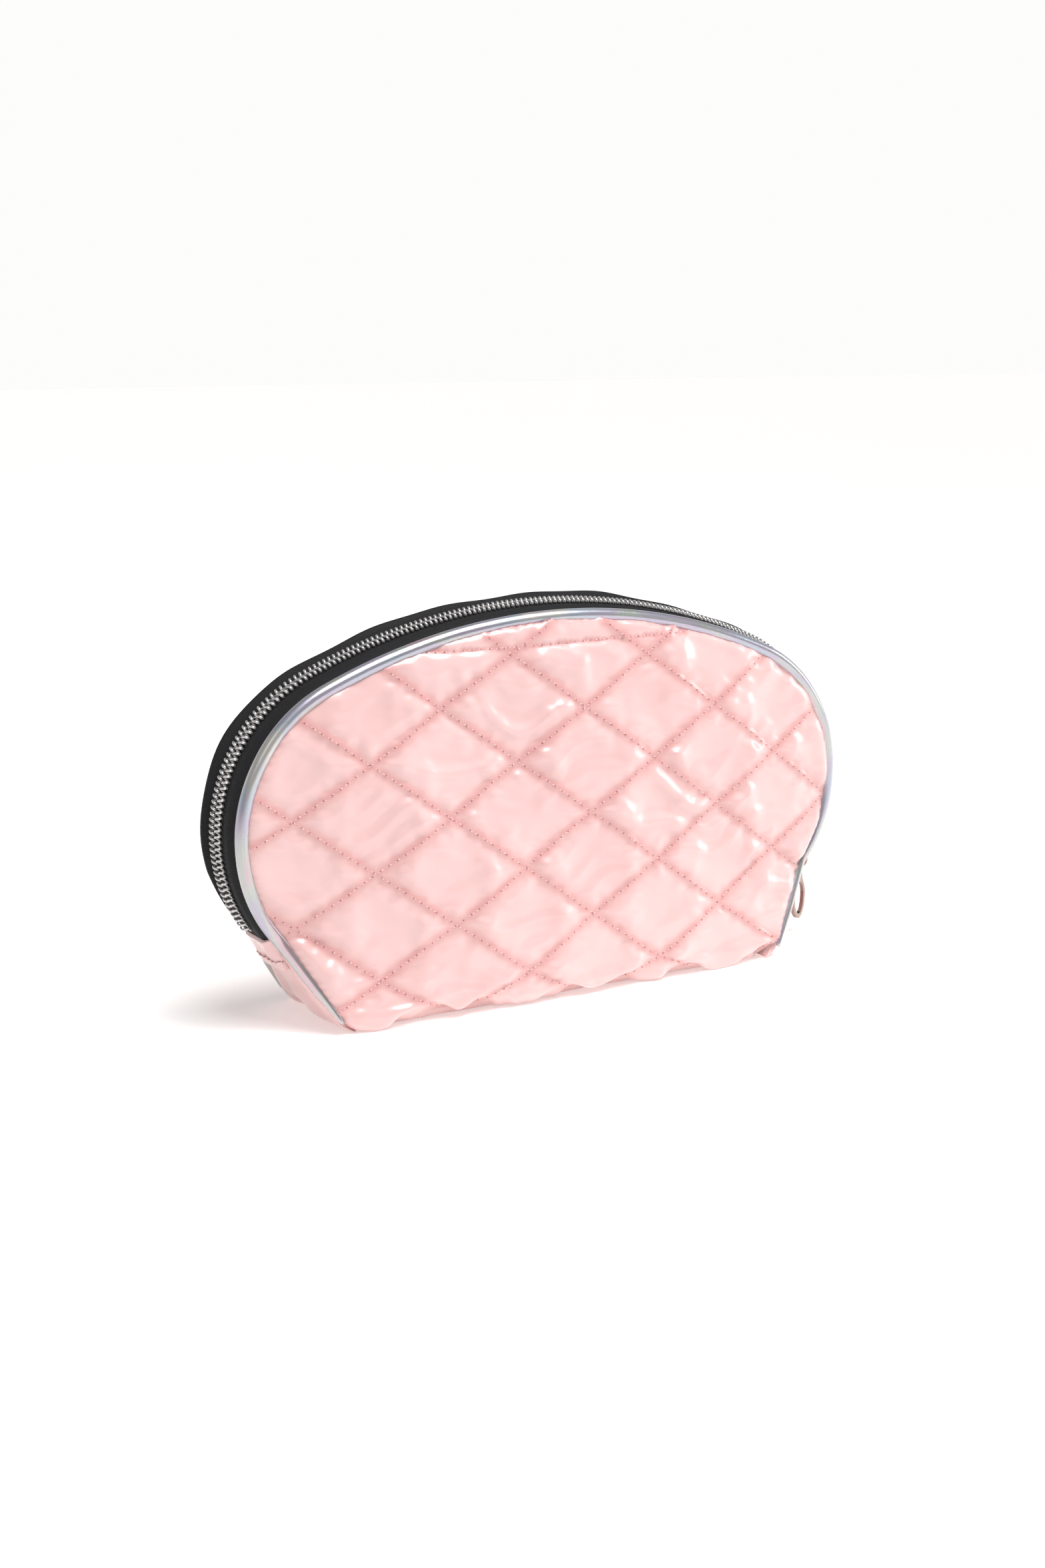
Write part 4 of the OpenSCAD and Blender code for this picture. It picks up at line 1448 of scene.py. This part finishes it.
# Pale floor, soft lights and the camera
studio = {
    "floor": 6.0,      # half its width
    "horizon": 0.985,  # brightness of the surroundings beyond the bag
    "sky": 0.10,       # and overhead and in front
    "key": 1.85,       # broad soft light from above
    "keyFrom": (0.05, -0.40, 1.0),
    "keyAngle": 34,    # degrees across
    "overhead": (7.8, 0.55, (0.26, -0.34, 1.02)),   # power, size, place
    "front": (1.0, 0.60, (-0.85, -0.75, 0.80)),
    "side": (2.6, 0.50, (1.05, -0.25, 0.34)),
    "cameraTurn": -30.6,
    "cameraRise": 12.05,
    "cameraAway": 0.6938,
    "aim": (-0.0060, 0.0, 0.0651),
    "lens": 50,
}
bpy.ops.object.select_all(action="DESELECT")
bpy.ops.mesh.primitive_grid_add(x_subdivisions=8, y_subdivisions=8, size=studio["floor"] * 2, location=(0, 0, 0))
floor = bpy.context.object
floor.name = "studio_floor"
dress(floor, paleFloor("floor_pale"))


def softLight(name, power, size, place):
    light = bpy.data.lights.new(name, "AREA")
    light.energy, light.size = power, size
    lamp = bpy.data.objects.new(name, light)
    lamp.location = place
    lamp.rotation_euler = (Vector((0, 0, 0.06)) - Vector(place)).to_track_quat("-Z", "Y").to_euler()
    bpy.context.scene.collection.objects.link(lamp)


softLight("overhead_light", *studio["overhead"])
softLight("front_light", *studio["front"])
softLight("side_light", *studio["side"])
bpy.context.scene.view_settings.view_transform = "Standard"
sun = bpy.data.lights.new("key_light", "SUN")
sun.energy, sun.angle = studio["key"], math.radians(studio["keyAngle"])
key = bpy.data.objects.new("key_light", sun)
key.rotation_euler = (-Vector(studio["keyFrom"])).to_track_quat("-Z", "Y").to_euler()
bpy.context.scene.collection.objects.link(key)

world = bpy.data.worlds.new("studio")
world.use_nodes = True
sky = world.node_tree
where = sky.nodes.new("ShaderNodeTexCoord")
height = sky.nodes.new("ShaderNodeVectorMath")
height.operation = "DOT_PRODUCT"
height.inputs[1].default_value = (0, -0.5, 1)
fade = sky.nodes.new("ShaderNodeMapRange")
fade.inputs["From Min"].default_value, fade.inputs["From Max"].default_value = -0.22, 0.25
fade.inputs["To Min"].default_value, fade.inputs["To Max"].default_value = studio["horizon"], studio["sky"]
sky.links.new(where.outputs["Generated"], height.inputs[0])
sky.links.new(height.outputs["Value"], fade.inputs["Value"])
sky.links.new(fade.outputs["Result"], sky.nodes["Background"].inputs["Strength"])
sky.nodes["Background"].inputs["Color"].default_value = (1.0, 0.995, 0.99, 1)
bpy.context.scene.world = world

turn, up = math.radians(studio["cameraTurn"]), math.radians(studio["cameraRise"])
aim = Vector(studio["aim"])
lens = bpy.data.cameras.new("camera")
lens.lens = studio["lens"]
lens.sensor_fit = "AUTO"
lens.sensor_width = 36
camera = bpy.data.objects.new("camera", lens)
towards = Vector((math.sin(turn) * math.cos(up), -math.cos(turn) * math.cos(up), math.sin(up)))
camera.location = aim + studio["cameraAway"] * towards
camera.rotation_euler = (aim - camera.location).to_track_quat("-Z", "Y").to_euler()
bpy.context.scene.collection.objects.link(camera)
bpy.context.scene.camera = camera
print("studio ready")
